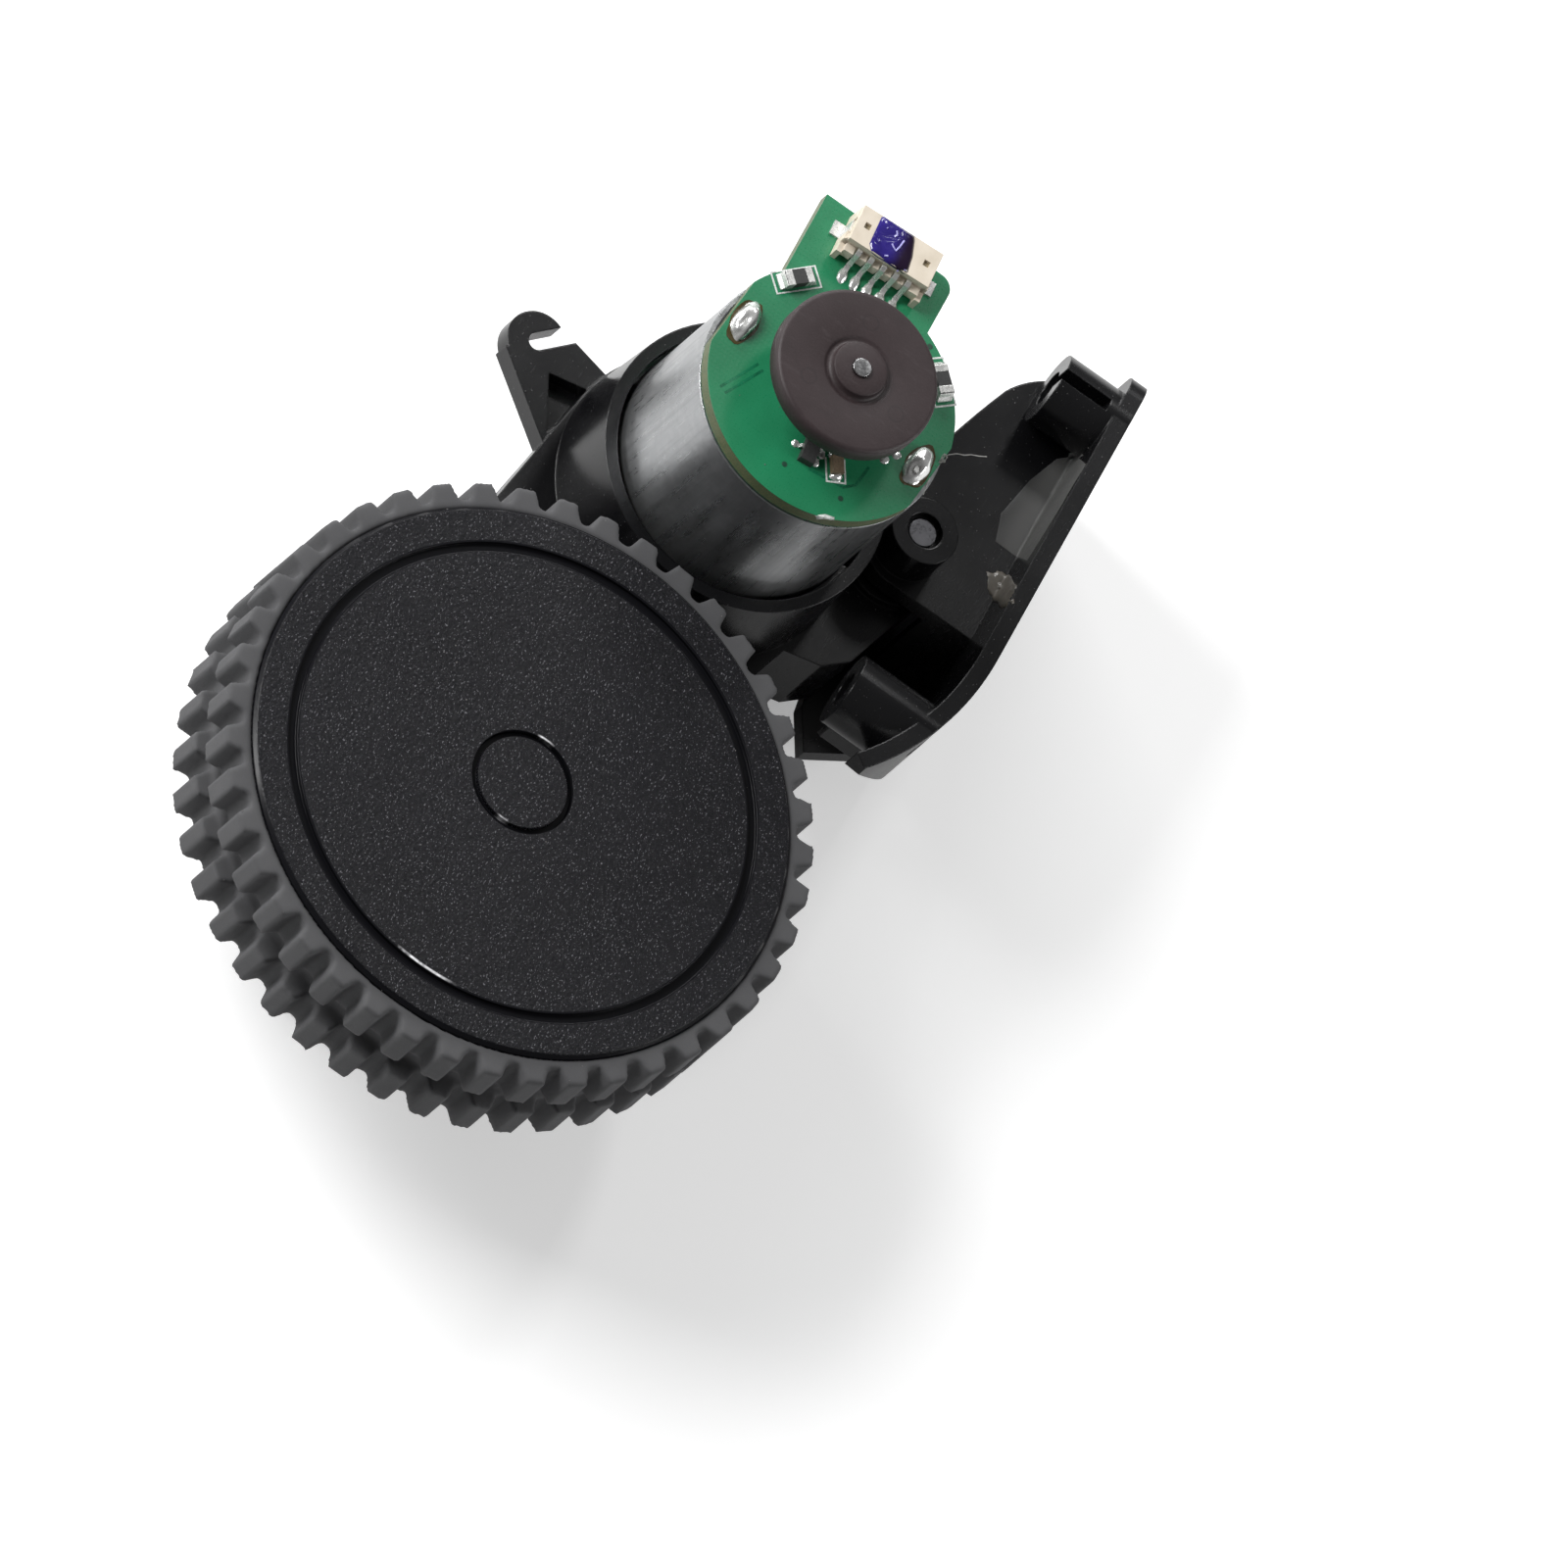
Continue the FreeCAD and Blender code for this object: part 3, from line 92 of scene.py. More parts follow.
class Graph:
    """A material's node tree with short calls for the nodes that are used often."""

    def __init__(self, name):
        self.material = bpy.data.materials.new(name)
        self.material.use_nodes = True
        self.tree = self.material.node_tree
        self.tree.nodes.clear()
        self.shader = self.tree.nodes.new("ShaderNodeBsdfPrincipled")
        self.output = self.tree.nodes.new("ShaderNodeOutputMaterial")
        self.tree.links.new(self.shader.outputs["BSDF"], self.output.inputs["Surface"])
        self.coordinates = self.tree.nodes.new("ShaderNodeTexCoord").outputs["Object"]

    def add(self, kind, inputs=None, **settings):
        """A node with its inputs, given as values or sockets, and its settings."""
        node = self.tree.nodes.new(kind)
        for name, value in settings.items():
            setattr(node, name, value)
        for key, value in (inputs or {}).items():
            self.feed(node.inputs[key], value)
        return node

    def feed(self, socket, value):
        """Gives an input a value or another node's socket."""
        if isinstance(value, bpy.types.NodeSocket):
            self.tree.links.new(value, socket)
        else:
            socket.default_value = value

    def noise(self, scale, detail=4.0, roughness=0.5, vector=None, distortion=0.0):
        """Noise with its scale in cells per millimetre."""
        node = self.add(
            "ShaderNodeTexNoise",
            {
                "Vector": vector or self.coordinates,
                "Scale": scale / MM,
                "Detail": detail,
                "Roughness": roughness,
                "Distortion": distortion,
            },
        )
        return node.outputs["Fac"]

    def span(self, value, low, high, to_low=0.0, to_high=1.0, smooth=False):
        """A value's share of the way from low to high, mapped to another range and held within it."""
        node = self.add(
            "ShaderNodeMapRange",
            {"Value": value, "From Min": low, "From Max": high, "To Min": to_low, "To Max": to_high},
        )
        if smooth:
            node.interpolation_type = "SMOOTHSTEP"
        return node.outputs["Result"]

    def maths(self, operation, a, b=0.0, clamp=False):
        """One step of arithmetic on values or sockets."""
        node = self.add("ShaderNodeMath", operation=operation, use_clamp=clamp)
        self.feed(node.inputs[0], a)
        self.feed(node.inputs[1], b)
        return node.outputs[0]

    def blend(self, factor, a, b):
        """A mix of two colours."""
        node = self.add("ShaderNodeMix", data_type="RGBA")
        self.feed(node.inputs["Factor"], factor)
        self.feed(node.inputs[6], (*a, 1.0) if isinstance(a, tuple) else a)
        self.feed(node.inputs[7], (*b, 1.0) if isinstance(b, tuple) else b)
        return node.outputs[2]

    def stretch(self, scale, centre=(0.0, 0.0, 0.0)):
        """Object coordinates scaled by axis about a centre in millimetres."""
        shifted = self.add("ShaderNodeVectorMath", operation="SUBTRACT")
        self.feed(shifted.inputs[0], self.coordinates)
        shifted.inputs[1].default_value = [v * MM for v in centre]
        scaled = self.add("ShaderNodeVectorMath", operation="MULTIPLY")
        self.feed(scaled.inputs[0], shifted.outputs[0])
        scaled.inputs[1].default_value = scale
        return scaled.outputs[0]

    def around(self, centre):
        """Distance from an upright axis in millimetres, and the bearing about it in turns."""
        moved = self.stretch((1 / MM, 1 / MM, 0.0), (centre[0], centre[1], 0.0))
        length = self.add("ShaderNodeVectorMath", {0: moved}, operation="LENGTH")
        parts = self.add("ShaderNodeSeparateXYZ", {0: moved})
        angle = self.maths("ARCTAN2", parts.outputs["Y"], parts.outputs["X"])
        return length.outputs["Value"], self.maths("DIVIDE", angle, math.tau)

    def axis(self, letter):
        """X, Y or Z in millimetres."""
        parts = self.add("ShaderNodeSeparateXYZ", {0: self.coordinates})
        return self.maths("DIVIDE", parts.outputs[letter], MM)

    def band(self, value, low, high, edge=0.05):
        """1 between two values, with soft edges."""
        rise = self.span(value, low - edge, low + edge)
        fall = self.span(value, high - edge, high + edge)
        return self.maths("SUBTRACT", rise, fall, clamp=True)

    def bump(self, height, strength, distance, normal=None):
        """A normal tilted by a height field, with its full height in millimetres."""
        inputs = {"Height": height, "Strength": strength, "Distance": distance * MM}
        node = self.add("ShaderNodeBump", inputs)
        if normal is not None:
            self.feed(node.inputs["Normal"], normal)
        return node.outputs["Normal"]

    def rounded(self, radius):
        """A normal that rounds sharp edges."""
        node = self.add("ShaderNodeBevel", {"Radius": radius * MM}, samples=4)
        return node.outputs["Normal"]

    def finish(self, **sockets):
        """Feeds the shader and returns the material."""
        names = {
            "color": "Base Color",
            "roughness": "Roughness",
            "metallic": "Metallic",
            "normal": "Normal",
            "specular": "Specular IOR Level",
            "coat": "Coat Weight",
            "coat_roughness": "Coat Roughness",
        }
        for key, value in sockets.items():
            if isinstance(value, tuple) and len(value) == 3:
                value = (*value, 1.0)
            self.feed(self.shader.inputs[names[key]], value)
        return self.material


# Materials


def shade(color, factor):
    """A colour made darker or lighter, held at white."""
    return tuple(min(1.0, c * factor) for c in color)


def glossy_plastic(name, color, dull=0.28, rounding=0.22):
    """Black injection moulding: a glossy skin with faint flow marks, fine scuffs and a little dust."""
    g = Graph(name)
    flow = g.noise(0.05, 3.0, 0.5)
    grain = g.noise(6.0, 3.0, 0.6)
    dust = g.span(g.noise(3.2, 2.0, 0.5), 0.715, 0.76)
    scuff_lines = g.noise(0.5, 5.0, 0.65, g.stretch((1.0, 7.0, 1.0)), 0.4)
    scuff = g.span(scuff_lines, 0.6, 0.72, 0.0, 0.5)
    tone = g.blend(g.span(flow, 0.3, 0.7), shade(color, 0.85), shade(color, 1.15))
    tone = g.blend(g.maths("MULTIPLY", dust, 0.25), tone, (0.2, 0.2, 0.2))
    rough = g.span(flow, 0.3, 0.7, dull - 0.05, dull + 0.07)
    rough = g.maths("ADD", rough, g.maths("MULTIPLY", scuff, 0.18))
    rough = g.maths("ADD", rough, g.maths("MULTIPLY", dust, 0.3), clamp=True)
    normal = g.bump(grain, 0.12, 0.05, g.rounded(rounding))
    normal = g.bump(flow, 0.2, 0.5, normal)
    return g.finish(color=tone, roughness=rough, normal=normal)


def satin_plastic(name, color, dull=0.5):
    """A moulding with a fine, even texture."""
    g = Graph(name)
    flow = g.noise(0.07, 3.0)
    grain = g.noise(9.0, 3.0, 0.6)
    tone = g.blend(g.span(flow, 0.3, 0.7), shade(color, 0.88), shade(color, 1.1))
    rough = g.span(grain, 0.3, 0.7, dull - 0.07, dull + 0.08)
    return g.finish(color=tone, roughness=rough, normal=g.bump(grain, 0.2, 0.05, g.rounded(0.15)))


# Radii in millimetres of the smooth parts of the wheel's face
RIM_GROOVE = (25.1, 26.5)
HUB_GROOVE = (5.0, 5.75)
RIM_EDGE = (29.6, 29.9)


def wheel_plastic(name):
    """Spark-textured charcoal disc, with smooth, glossy ring grooves, painted shade in its pits, painted
    glints and painted arcs of light.
    """
    g = Graph(name)
    radius, turn = g.around(WHEEL)
    coarse = g.noise(2.6, 2.0, 0.5)
    fine = g.noise(6.0, 3.0, 0.6)
    cloud = g.noise(0.06, 3.0)
    smooth_ring = g.maths("ADD", g.band(radius, *RIM_GROOVE), g.band(radius, *HUB_GROOVE), clamp=True)
    smooth_area = g.maths("ADD", smooth_ring, g.span(radius, *RIM_EDGE), clamp=True)
    texture = g.maths("SUBTRACT", 1.0, smooth_area)
    grains = g.maths("ADD", g.maths("MULTIPLY", coarse, 1.2), g.maths("MULTIPLY", fine, 0.7))
    tone = g.blend(g.span(cloud, 0.3, 0.7), (0.0036, 0.0035, 0.0052), (0.0055, 0.0054, 0.0076))
    # Painted shade: the low points of the spark texture are made darker, where shade falls in its pits.
    hollow = g.span(coarse, 0.34, 0.5, 0.0, 1.0)
    painted_pit_shade = g.maths("MULTIPLY", g.maths("SUBTRACT", 1.0, hollow), g.maths("MULTIPLY", texture, 0.6))
    tone = g.blend(painted_pit_shade, tone, (0.003, 0.003, 0.004))
    # Painted glints: sparse pale specks in the spark texture, standing in for light caught by its bumps.
    painted_glints = g.span(g.noise(4.6, 2.0, 0.5, g.stretch((0.8, 1.4, 1.0))), 0.63, 0.69)
    tone = g.blend(g.maths("MULTIPLY", painted_glints, g.maths("MULTIPLY", texture, 0.9)), tone, (0.17, 0.17, 0.185))
    tone = g.blend(smooth_area, tone, (0.006, 0.006, 0.0075))
    # Thin arcs of light on the grooves' edges, on the two sides that face the lamps
    swing = g.maths("ABSOLUTE", turn)
    far_side = g.span(swing, 0.472, 0.486)
    near_side = g.span(swing, 0.03, 0.015)
    arcs = g.maths("MULTIPLY", g.band(radius, 24.92, 25.2), far_side)
    arcs = g.maths("MAXIMUM", arcs, g.maths("MULTIPLY", g.band(radius, 4.84, 5.04), far_side))
    arcs = g.maths("MAXIMUM", arcs, g.maths("MULTIPLY", g.band(radius, 5.7, 5.9), near_side))
    broken = g.span(g.noise(0.8, 2.0, 0.5), 0.35, 0.6)
    tone = g.blend(g.maths("MULTIPLY", arcs, broken), tone, (0.75, 0.75, 0.77))
    rough = g.span(smooth_area, 0.0, 1.0, 0.4, 0.2)
    rough = g.maths("ADD", rough, g.span(fine, 0.3, 0.7, -0.06, 0.06))
    normal = g.bump(grains, g.maths("MULTIPLY", texture, 0.9), 0.2, g.rounded(0.15))
    return g.finish(color=tone, roughness=rough, normal=normal, specular=0.19)


def tyre_rubber(name):
    """Matte grey rubber, paler towards its lug tips, with mould marks and dust."""
    g = Graph(name)
    radius, _ = g.around(WHEEL)
    fine = g.noise(7.0, 4.0, 0.65)
    patch = g.noise(0.11, 4.0, 0.6)
    # Paler towards the lug tips, from a radius of 30.5 mm out to 33 mm.
    paler = g.span(radius, 30.5, 33.0)
    tone = g.blend(g.span(patch, 0.3, 0.7), (0.056, 0.056, 0.059), (0.074, 0.074, 0.077))
    tone = g.blend(g.maths("MULTIPLY", paler, 0.3), tone, (0.092, 0.092, 0.095))
    tone = g.blend(g.span(fine, 0.62, 0.75, 0.0, 0.3), tone, (0.12, 0.12, 0.12))
    rough = g.span(fine, 0.3, 0.7, 0.66, 0.84)
    normal = g.bump(fine, 0.35, 0.08, g.rounded(0.4))
    normal = g.bump(patch, 0.25, 0.5, normal)
    return g.finish(color=tone, roughness=rough, normal=normal, specular=0.35)


CAN_WAY_ROUND = 87.0
# Painted reflection: how light the can's wall is painted by its bearing, in turns from the -X side
CAN_PAINTED_REFLECTION = ((0.0, 0.5), (0.05, 0.6), (0.089, 1.0), (0.125, 0.55), (0.156, 0.2), (0.23, 0.3))
CAN_PAINTED_REFLECTION += ((0.5, 0.6), (0.78, 0.5), (0.865, 0.62), (0.915, 0.5), (0.97, 0.62))


def zinc_can(name):
    """Drawn and zinc-plated steel: streaks up the wall, cloudy spangle, handling marks, and painted
    reflection bands by bearing.
    """
    g = Graph(name)
    _, turn = g.around(MOTOR)
    way = g.maths("MULTIPLY", turn, CAN_WAY_ROUND)
    wall = g.add("ShaderNodeCombineXYZ", {0: way, 1: g.axis("Z"), 2: 0.0}).outputs[0]
    drawn = g.add("ShaderNodeVectorMath", {0: wall, 1: (1.6, 0.05, 1.0)}, operation="MULTIPLY").outputs[0]
    streaks = {"Vector": drawn, "Scale": 1.0, "Detail": 6.0, "Roughness": 0.6}
    streak = g.add("ShaderNodeTexNoise", streaks).outputs["Fac"]
    cloud = g.noise(0.16, 5.0, 0.6, distortion=0.6)
    spangle = g.noise(0.75, 4.0, 0.6, distortion=0.3)
    marks = g.span(g.noise(0.45, 5.0, 0.7, g.stretch((1.0, 1.0, 0.35)), 0.8), 0.6, 0.72)
    # Painted reflection: the wall's tone is set by its bearing, light and dark bands standing in for what
    # the glossy can reflects.
    reflection_bands = g.add("ShaderNodeValToRGB", {0: g.maths("ADD", turn, 0.5)})
    ramp = reflection_bands.color_ramp
    ramp.interpolation = "EASE"
    while len(ramp.elements) < len(CAN_PAINTED_REFLECTION):
        ramp.elements.new(0.5)
    for element, (at, value) in zip(ramp.elements, CAN_PAINTED_REFLECTION):
        element.position = at
        element.color = (value, value, value, 1.0)
    reflection_share = g.add("ShaderNodeSeparateColor", {0: reflection_bands.outputs["Color"]}).outputs[0]
    tone = g.blend(reflection_share, (0.12, 0.125, 0.13), (0.62, 0.63, 0.64))
    tone = g.blend(g.span(cloud, 0.35, 0.7, 0.0, 0.35), tone, (0.33, 0.335, 0.34))
    tone = g.blend(g.span(spangle, 0.45, 0.66, 0.0, 0.2), tone, (0.6, 0.61, 0.61))
    tone = g.blend(g.maths("MULTIPLY", marks, 0.4), tone, (0.12, 0.125, 0.13))
    tone = g.blend(g.span(streak, 0.5, 0.75, 0.0, 0.22), tone, (0.15, 0.155, 0.16))
    rough = g.span(cloud, 0.3, 0.7, 0.34, 0.24)
    rough = g.maths("ADD", rough, g.span(streak, 0.3, 0.7, -0.06, 0.1))
    normal = g.bump(streak, 0.08, 0.1, g.rounded(0.25))
    normal = g.bump(spangle, 0.14, 0.2, normal)
    return g.finish(color=tone, roughness=rough, metallic=0.92, normal=normal)


def metal(name, color, dull=0.25, wear=0.1, grain_scale=3.0, rounding=0.1, shine=1.0):
    """Plain metal with fine scratches and cloudy roughness."""
    g = Graph(name)
    cloud = g.noise(0.4, 4.0)
    lines = g.noise(grain_scale, 5.0, 0.6, g.stretch((1.0, 1.0, 0.08)))
    tone = g.blend(g.span(cloud, 0.3, 0.7), shade(color, 1 - wear), color)
    rough = g.span(cloud, 0.3, 0.7, dull - 0.05, dull + 0.1)
    rough = g.maths("ADD", rough, g.span(lines, 0.3, 0.7, -0.05, 0.08))
    normal = g.bump(lines, 0.15, 0.04, g.rounded(rounding))
    return g.finish(color=tone, roughness=rough, metallic=shine, normal=normal)


def solder_metal(name):
    """Bright solder with a frosted, rippled skin."""
    g = Graph(name)
    ripple = g.noise(0.5, 2.0, 0.5)
    frost = g.noise(9.0, 3.0, 0.6)
    tone = g.blend(g.span(ripple, 0.35, 0.7), (0.7, 0.7, 0.69), (0.9, 0.9, 0.89))
    rough = g.span(frost, 0.3, 0.7, 0.12, 0.3)
    normal = g.bump(ripple, 0.15, 0.15)
    return g.finish(color=tone, roughness=rough, metallic=0.7, normal=g.bump(frost, 0.04, 0.02, normal))


def solder_mask(name):
    """Green solder mask on a glass-fibre board with a paler, brownish cut edge."""
    g = Graph(name)
    z = g.axis("Z")
    cloud = g.noise(0.2, 3.0)
    wave = {"Vector": g.coordinates, "Scale": 0.6 / MM, "Distortion": 0.6}
    weave_x, weave_y = [g.add("ShaderNodeTexWave", wave, bands_direction=way) for way in "XY"]
    weave = g.maths("MULTIPLY", weave_x.outputs["Fac"], weave_y.outputs["Fac"])
    fine = g.noise(7.0, 3.0)
    top = board_top / MM
    under = board_under / MM
    face = g.maths("MAXIMUM", g.span(z, top - 0.06, top - 0.03), g.span(z, under + 0.06, under + 0.03))
    green = g.blend(g.span(cloud, 0.3, 0.7), (0.013, 0.17, 0.072), (0.017, 0.21, 0.092))
    green = g.blend(g.maths("MULTIPLY", weave, 0.12), green, (0.02, 0.25, 0.12))
    edge = g.blend(g.span(fine, 0.35, 0.65), (0.04, 0.08, 0.03), (0.12, 0.12, 0.055))
    tone = g.blend(face, edge, green)
    rough = g.span(face, 0.0, 1.0, 0.7, 0.3)
    rough = g.maths("ADD", rough, g.span(fine, 0.3, 0.7, -0.04, 0.06))
    normal = g.bump(weave, 0.05, 0.05, g.rounded(0.06))
    return g.finish(color=tone, roughness=rough, normal=normal, coat=0.25, coat_roughness=0.15)


# The magnet's ejector marks, by bearing in degrees and distance from the motor's axis
EJECTOR_BEARINGS = (13.0, 133.0, -107.0)
EJECTOR_REACH = 5.8


def bonded_magnet(name):
    """Brown plastic-bonded ferrite: matte, faintly streaked, with three ejector marks."""
    g = Graph(name)
    fine = g.noise(4.0, 5.0, 0.65)
    drift = g.noise(0.22, 4.0, 0.6, distortion=0.5)
    paler = g.span(g.noise(0.5, 4.0, 0.6, g.stretch((2.6, 0.8, 1.0))), 0.58, 0.75, 0.0, 0.35)
    rings = None
    for bearing in EJECTOR_BEARINGS:
        x = MOTOR.x + EJECTOR_REACH * math.cos(math.radians(bearing))
        y = MOTOR.y + EJECTOR_REACH * math.sin(math.radians(bearing))
        reach, _ = g.around((x, y))
        ring = g.band(reach, 0.75, 0.95, 0.08)
        rings = ring if rings is None else g.maths("MAXIMUM", rings, ring)
    tone = g.blend(g.span(drift, 0.3, 0.7), (0.024, 0.0155, 0.0165), (0.032, 0.021, 0.0225))
    tone = g.blend(g.span(fine, 0.5, 0.75, 0.0, 0.3), tone, (0.05, 0.037, 0.039))
    tone = g.blend(g.maths("MULTIPLY", paler, 0.6), tone, (0.075, 0.062, 0.065))
    rough = g.span(fine, 0.3, 0.7, 0.42, 0.6)
    tone = g.blend(g.maths("MULTIPLY", rings, 0.45), tone, (0.018, 0.013, 0.014))
    normal = g.bump(fine, 0.25, 0.05, g.rounded(0.2))
    return g.finish(color=tone, roughness=rough, normal=g.bump(rings, -0.4, 0.06, normal), specular=0.4)


def cream_plastic(name):
    """The socket's nylon."""
    g = Graph(name)
    cloud = g.noise(0.5, 4.0)
    fine = g.noise(8.0, 3.0)
    tone = g.blend(g.span(cloud, 0.3, 0.7), (0.58, 0.51, 0.41), (0.67, 0.6, 0.5))
    rough = g.span(fine, 0.3, 0.7, 0.34, 0.5)
    return g.finish(color=tone, roughness=rough, normal=g.bump(fine, 0.15, 0.03, g.rounded(0.08)))


def ceramic(name, color, dull=0.5):
    """A plain, dull, finely grained material: ferrite, carbon, chip bodies, print and dust."""
    g = Graph(name)
    fine = g.noise(5.0, 4.0, 0.6)
    tone = g.blend(g.span(fine, 0.35, 0.65), shade(color, 0.8), shade(color, 1.2))
    rough = g.span(fine, 0.3, 0.7, dull - 0.08, dull + 0.08)
    return g.finish(color=tone, roughness=rough, normal=g.bump(fine, 0.3, 0.04, g.rounded(0.08)))


def varnish(name, color, dull=0.12, ripple=0.35):
    """A thick glossy film: ink, flux or grease, with ripples where it dried."""
    g = Graph(name)
    wave = g.noise(0.35, 3.0, 0.5, distortion=0.8)
    fine = g.noise(4.0, 3.0, 0.6)
    tone = g.blend(g.span(wave, 0.3, 0.7), shade(color, 0.6), shade(color, 1.35))
    rough = g.span(fine, 0.3, 0.7, dull - 0.04, dull + 0.08)
    normal = g.bump(wave, ripple, 0.4)
    return g.finish(color=tone, roughness=rough, normal=normal, coat=0.6, coat_roughness=0.06)


def ink(name):
    """Blue-violet ink that darkens to near black at one end."""
    g = Graph(name)
    # Darker towards low Y, near black at that end.
    dark_end = g.span(g.axis("Y"), MOTOR.y + 1.1, MOTOR.y + 2.9, 1.0, 0.0, smooth=True)
    wave = g.noise(0.5, 3.0, 0.5, distortion=0.8)
    tone = g.blend(g.span(wave, 0.3, 0.7), (0.014, 0.008, 0.115), (0.026, 0.015, 0.2))
    tone = g.blend(dark_end, tone, (0.009, 0.002, 0.016))
    rough = g.span(wave, 0.3, 0.7, 0.1, 0.2)
    return g.finish(color=tone, roughness=rough, normal=g.bump(wave, 0.4, 0.3), coat=0.6)


def sheen(name, near, far):
    """Black plastic with a painted reflection: it pales between two values of Y, as the light does beside
    the plate.
    """
    g = Graph(name)
    fine = g.noise(3.0, 3.0, 0.6)
    fade = g.span(g.axis("Y"), far, near, smooth=True)
    tone = g.blend(fade, (0.0042, 0.0042, 0.0048), (0.085, 0.085, 0.083))
    rough = g.span(fine, 0.3, 0.7, 0.28, 0.4)
    return g.finish(color=tone, roughness=rough, normal=g.bump(fine, 0.08, 0.05))


flux_brown = varnish("flux_brown", (0.06, 0.045, 0.012), 0.2)
ink_violet = ink("ink_violet")
pin_steel = metal("pin_steel", (0.15, 0.15, 0.16), 0.28)
# Painted highlight colour for the ink's wrinkles.
painted_ink_highlight = varnish("painted_ink_highlight", (0.42, 0.4, 0.85), 0.3)
smear_beige = varnish("smear_beige", (0.1, 0.088, 0.07), 0.5)
mask_dark = varnish("mask_dark", (0.008, 0.13, 0.06), 0.25, 0.1)
hole_dark = ceramic("hole_dark", (0.012, 0.05, 0.03))
print_white = ceramic("print_white", (0.66, 0.68, 0.66))
# Painted shade colour for the socket's two windows.
window_shade_tan = ceramic("window_shade_tan", (0.3, 0.25, 0.16))
fibre_pale = ceramic("fibre_pale", (0.5, 0.49, 0.47))
dust_grey = ceramic("dust_grey", (0.16, 0.155, 0.15), 0.8)
finishes = {
    "black_gloss": glossy_plastic("black_gloss_skin", (0.0042, 0.0042, 0.0048), 0.22),
    "black_matte": satin_plastic("black_satin_skin", (0.008, 0.008, 0.009), 0.42),
    "bright_steel": metal("ground_steel", (0.66, 0.66, 0.67), 0.2),
    "screw_steel": metal("plated_steel", (0.5, 0.5, 0.52), 0.3),
    "zinc_steel": zinc_can("zinc_can"),
    "bush_bronze": metal("sintered_bronze", (0.6, 0.42, 0.22), 0.45),
    "motor_magnet": ceramic("ferrite_arc", (0.07, 0.07, 0.075)),
    "carbon": ceramic("carbon_block", (0.04, 0.04, 0.04)),
    "tinned": metal("tin_plate", (0.82, 0.82, 0.8), 0.25, 0.12, shine=0.65),
    "solder": solder_metal("solder_bright"),
    "board_green": solder_mask("board_mask"),
    "socket_cream": cream_plastic("cream_moulding"),
    "chip_black": ceramic("chip_dark", (0.035, 0.035, 0.035)),
    "capacitor_tan": ceramic("capacitor_tan_body", (0.17, 0.125, 0.08)),
    "core_steel": metal("lamination_steel", (0.32, 0.32, 0.33), 0.4),
    "copper": metal("enamel_copper", (0.62, 0.28, 0.13), 0.3),
    "brass_gear": metal("cut_brass", (0.72, 0.56, 0.25), 0.25),
    "bonded_magnet": bonded_magnet("bonded_ferrite"),
    "gear_white": satin_plastic("acetal_white", (0.8, 0.8, 0.77), 0.4),
    "rim_charcoal": wheel_plastic("wheel_charcoal"),
    "tyre_grey": tyre_rubber("tyre_rubber"),
}
slot_of = {entry["node"]: entry["material_slot"] for entry in frame["record"]["subparts"]}
for name, thing in nodes.items():
    material = pin_steel if name == "pivot_pin" else finishes[slot_of[name]]
    if thing.material_slots:
        for place in thing.material_slots:
            place.material = material
    else:
        thing.data.materials.append(material)


# Detail pieces: what the plain solids leave out, built in millimetres on the CAD surfaces. Board
# coordinates are millimetres from the motor's axis, and lifts are millimetres above the board's face.

SUNK = -0.01
LUMPS = 0.12
SOCKET_PLACE = Vector((16.45, 2.25))
SOCKET_TURN = 3.0
LEADS = (-2, -1, 0, 1, 2)
LEAD_PITCH = 1.5
CAPACITOR_PLACE = Vector((-6.9, -4.0))
CAPACITOR_TURN = 210.0


def board_point(x, y, lift=0.0):
    """A point on or above the circuit board, from board coordinates."""
    return Vector(((MOTOR.x + x) * MM, (MOTOR.y + y) * MM, board_top + lift * MM))


def directed(degrees):
    """The direction of a bearing."""
    return Vector((math.cos(math.radians(degrees)), math.sin(math.radians(degrees))))


def square_to(along):
    """The direction a quarter turn on."""
    return Vector((-along.y, along.x))


def build(name, shape, finish, body, smooth=False):
    """Turns a bmesh into a named piece that rides with a body."""
    bmesh.ops.recalc_face_normals(shape, faces=shape.faces)
    mesh = bpy.data.meshes.new(name)
    shape.to_mesh(mesh)
    shape.free()
    mesh.materials.append(finish)
    for face in mesh.polygons:
        face.use_smooth = smooth
    thing = bpy.data.objects.new(name, mesh)
    bpy.context.collection.objects.link(thing)
    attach(thing, body)
    return thing


def add_prism(shape, outline, low, high):
    """A closed prism on the board between two lifts, from an outline in board coordinates."""
    bottom = [shape.verts.new(board_point(x, y, low)) for x, y in outline]
    top = [shape.verts.new(board_point(x, y, high)) for x, y in outline]
    count = len(outline)
    shape.faces.new(bottom)
    shape.faces.new(top)
    for i in range(count):
        j = (i + 1) % count
        shape.faces.new((bottom[i], bottom[j], top[j], top[i]))


def ribbon(points, width):
    """Outline of a strip of even width along a line, with mitred corners."""
    points = [Vector(p) for p in points]
    left = []
    right = []
    for i, point in enumerate(points):
        before = (point - points[i - 1]).normalized() if i else (points[1] - point).normalized()
        after = (points[i + 1] - point).normalized() if i + 1 < len(points) else before
        across_before = square_to(before)
        across = (across_before + square_to(after)).normalized()
        reach = width / 2 / max(0.3, across.dot(across_before))
        left.append(point + across * reach)
        right.append(point - across * reach)
    return left + right[::-1]


def rectangle(centre, size, degrees):
    """The corners of a turned rectangle."""
    along = directed(degrees)
    across = square_to(along)
    centre = Vector(centre)
    corners = ((-1, -1), (1, -1), (1, 1), (-1, 1))
    return [centre + along * (a * size[0] / 2) + across * (b * size[1] / 2) for a, b in corners]


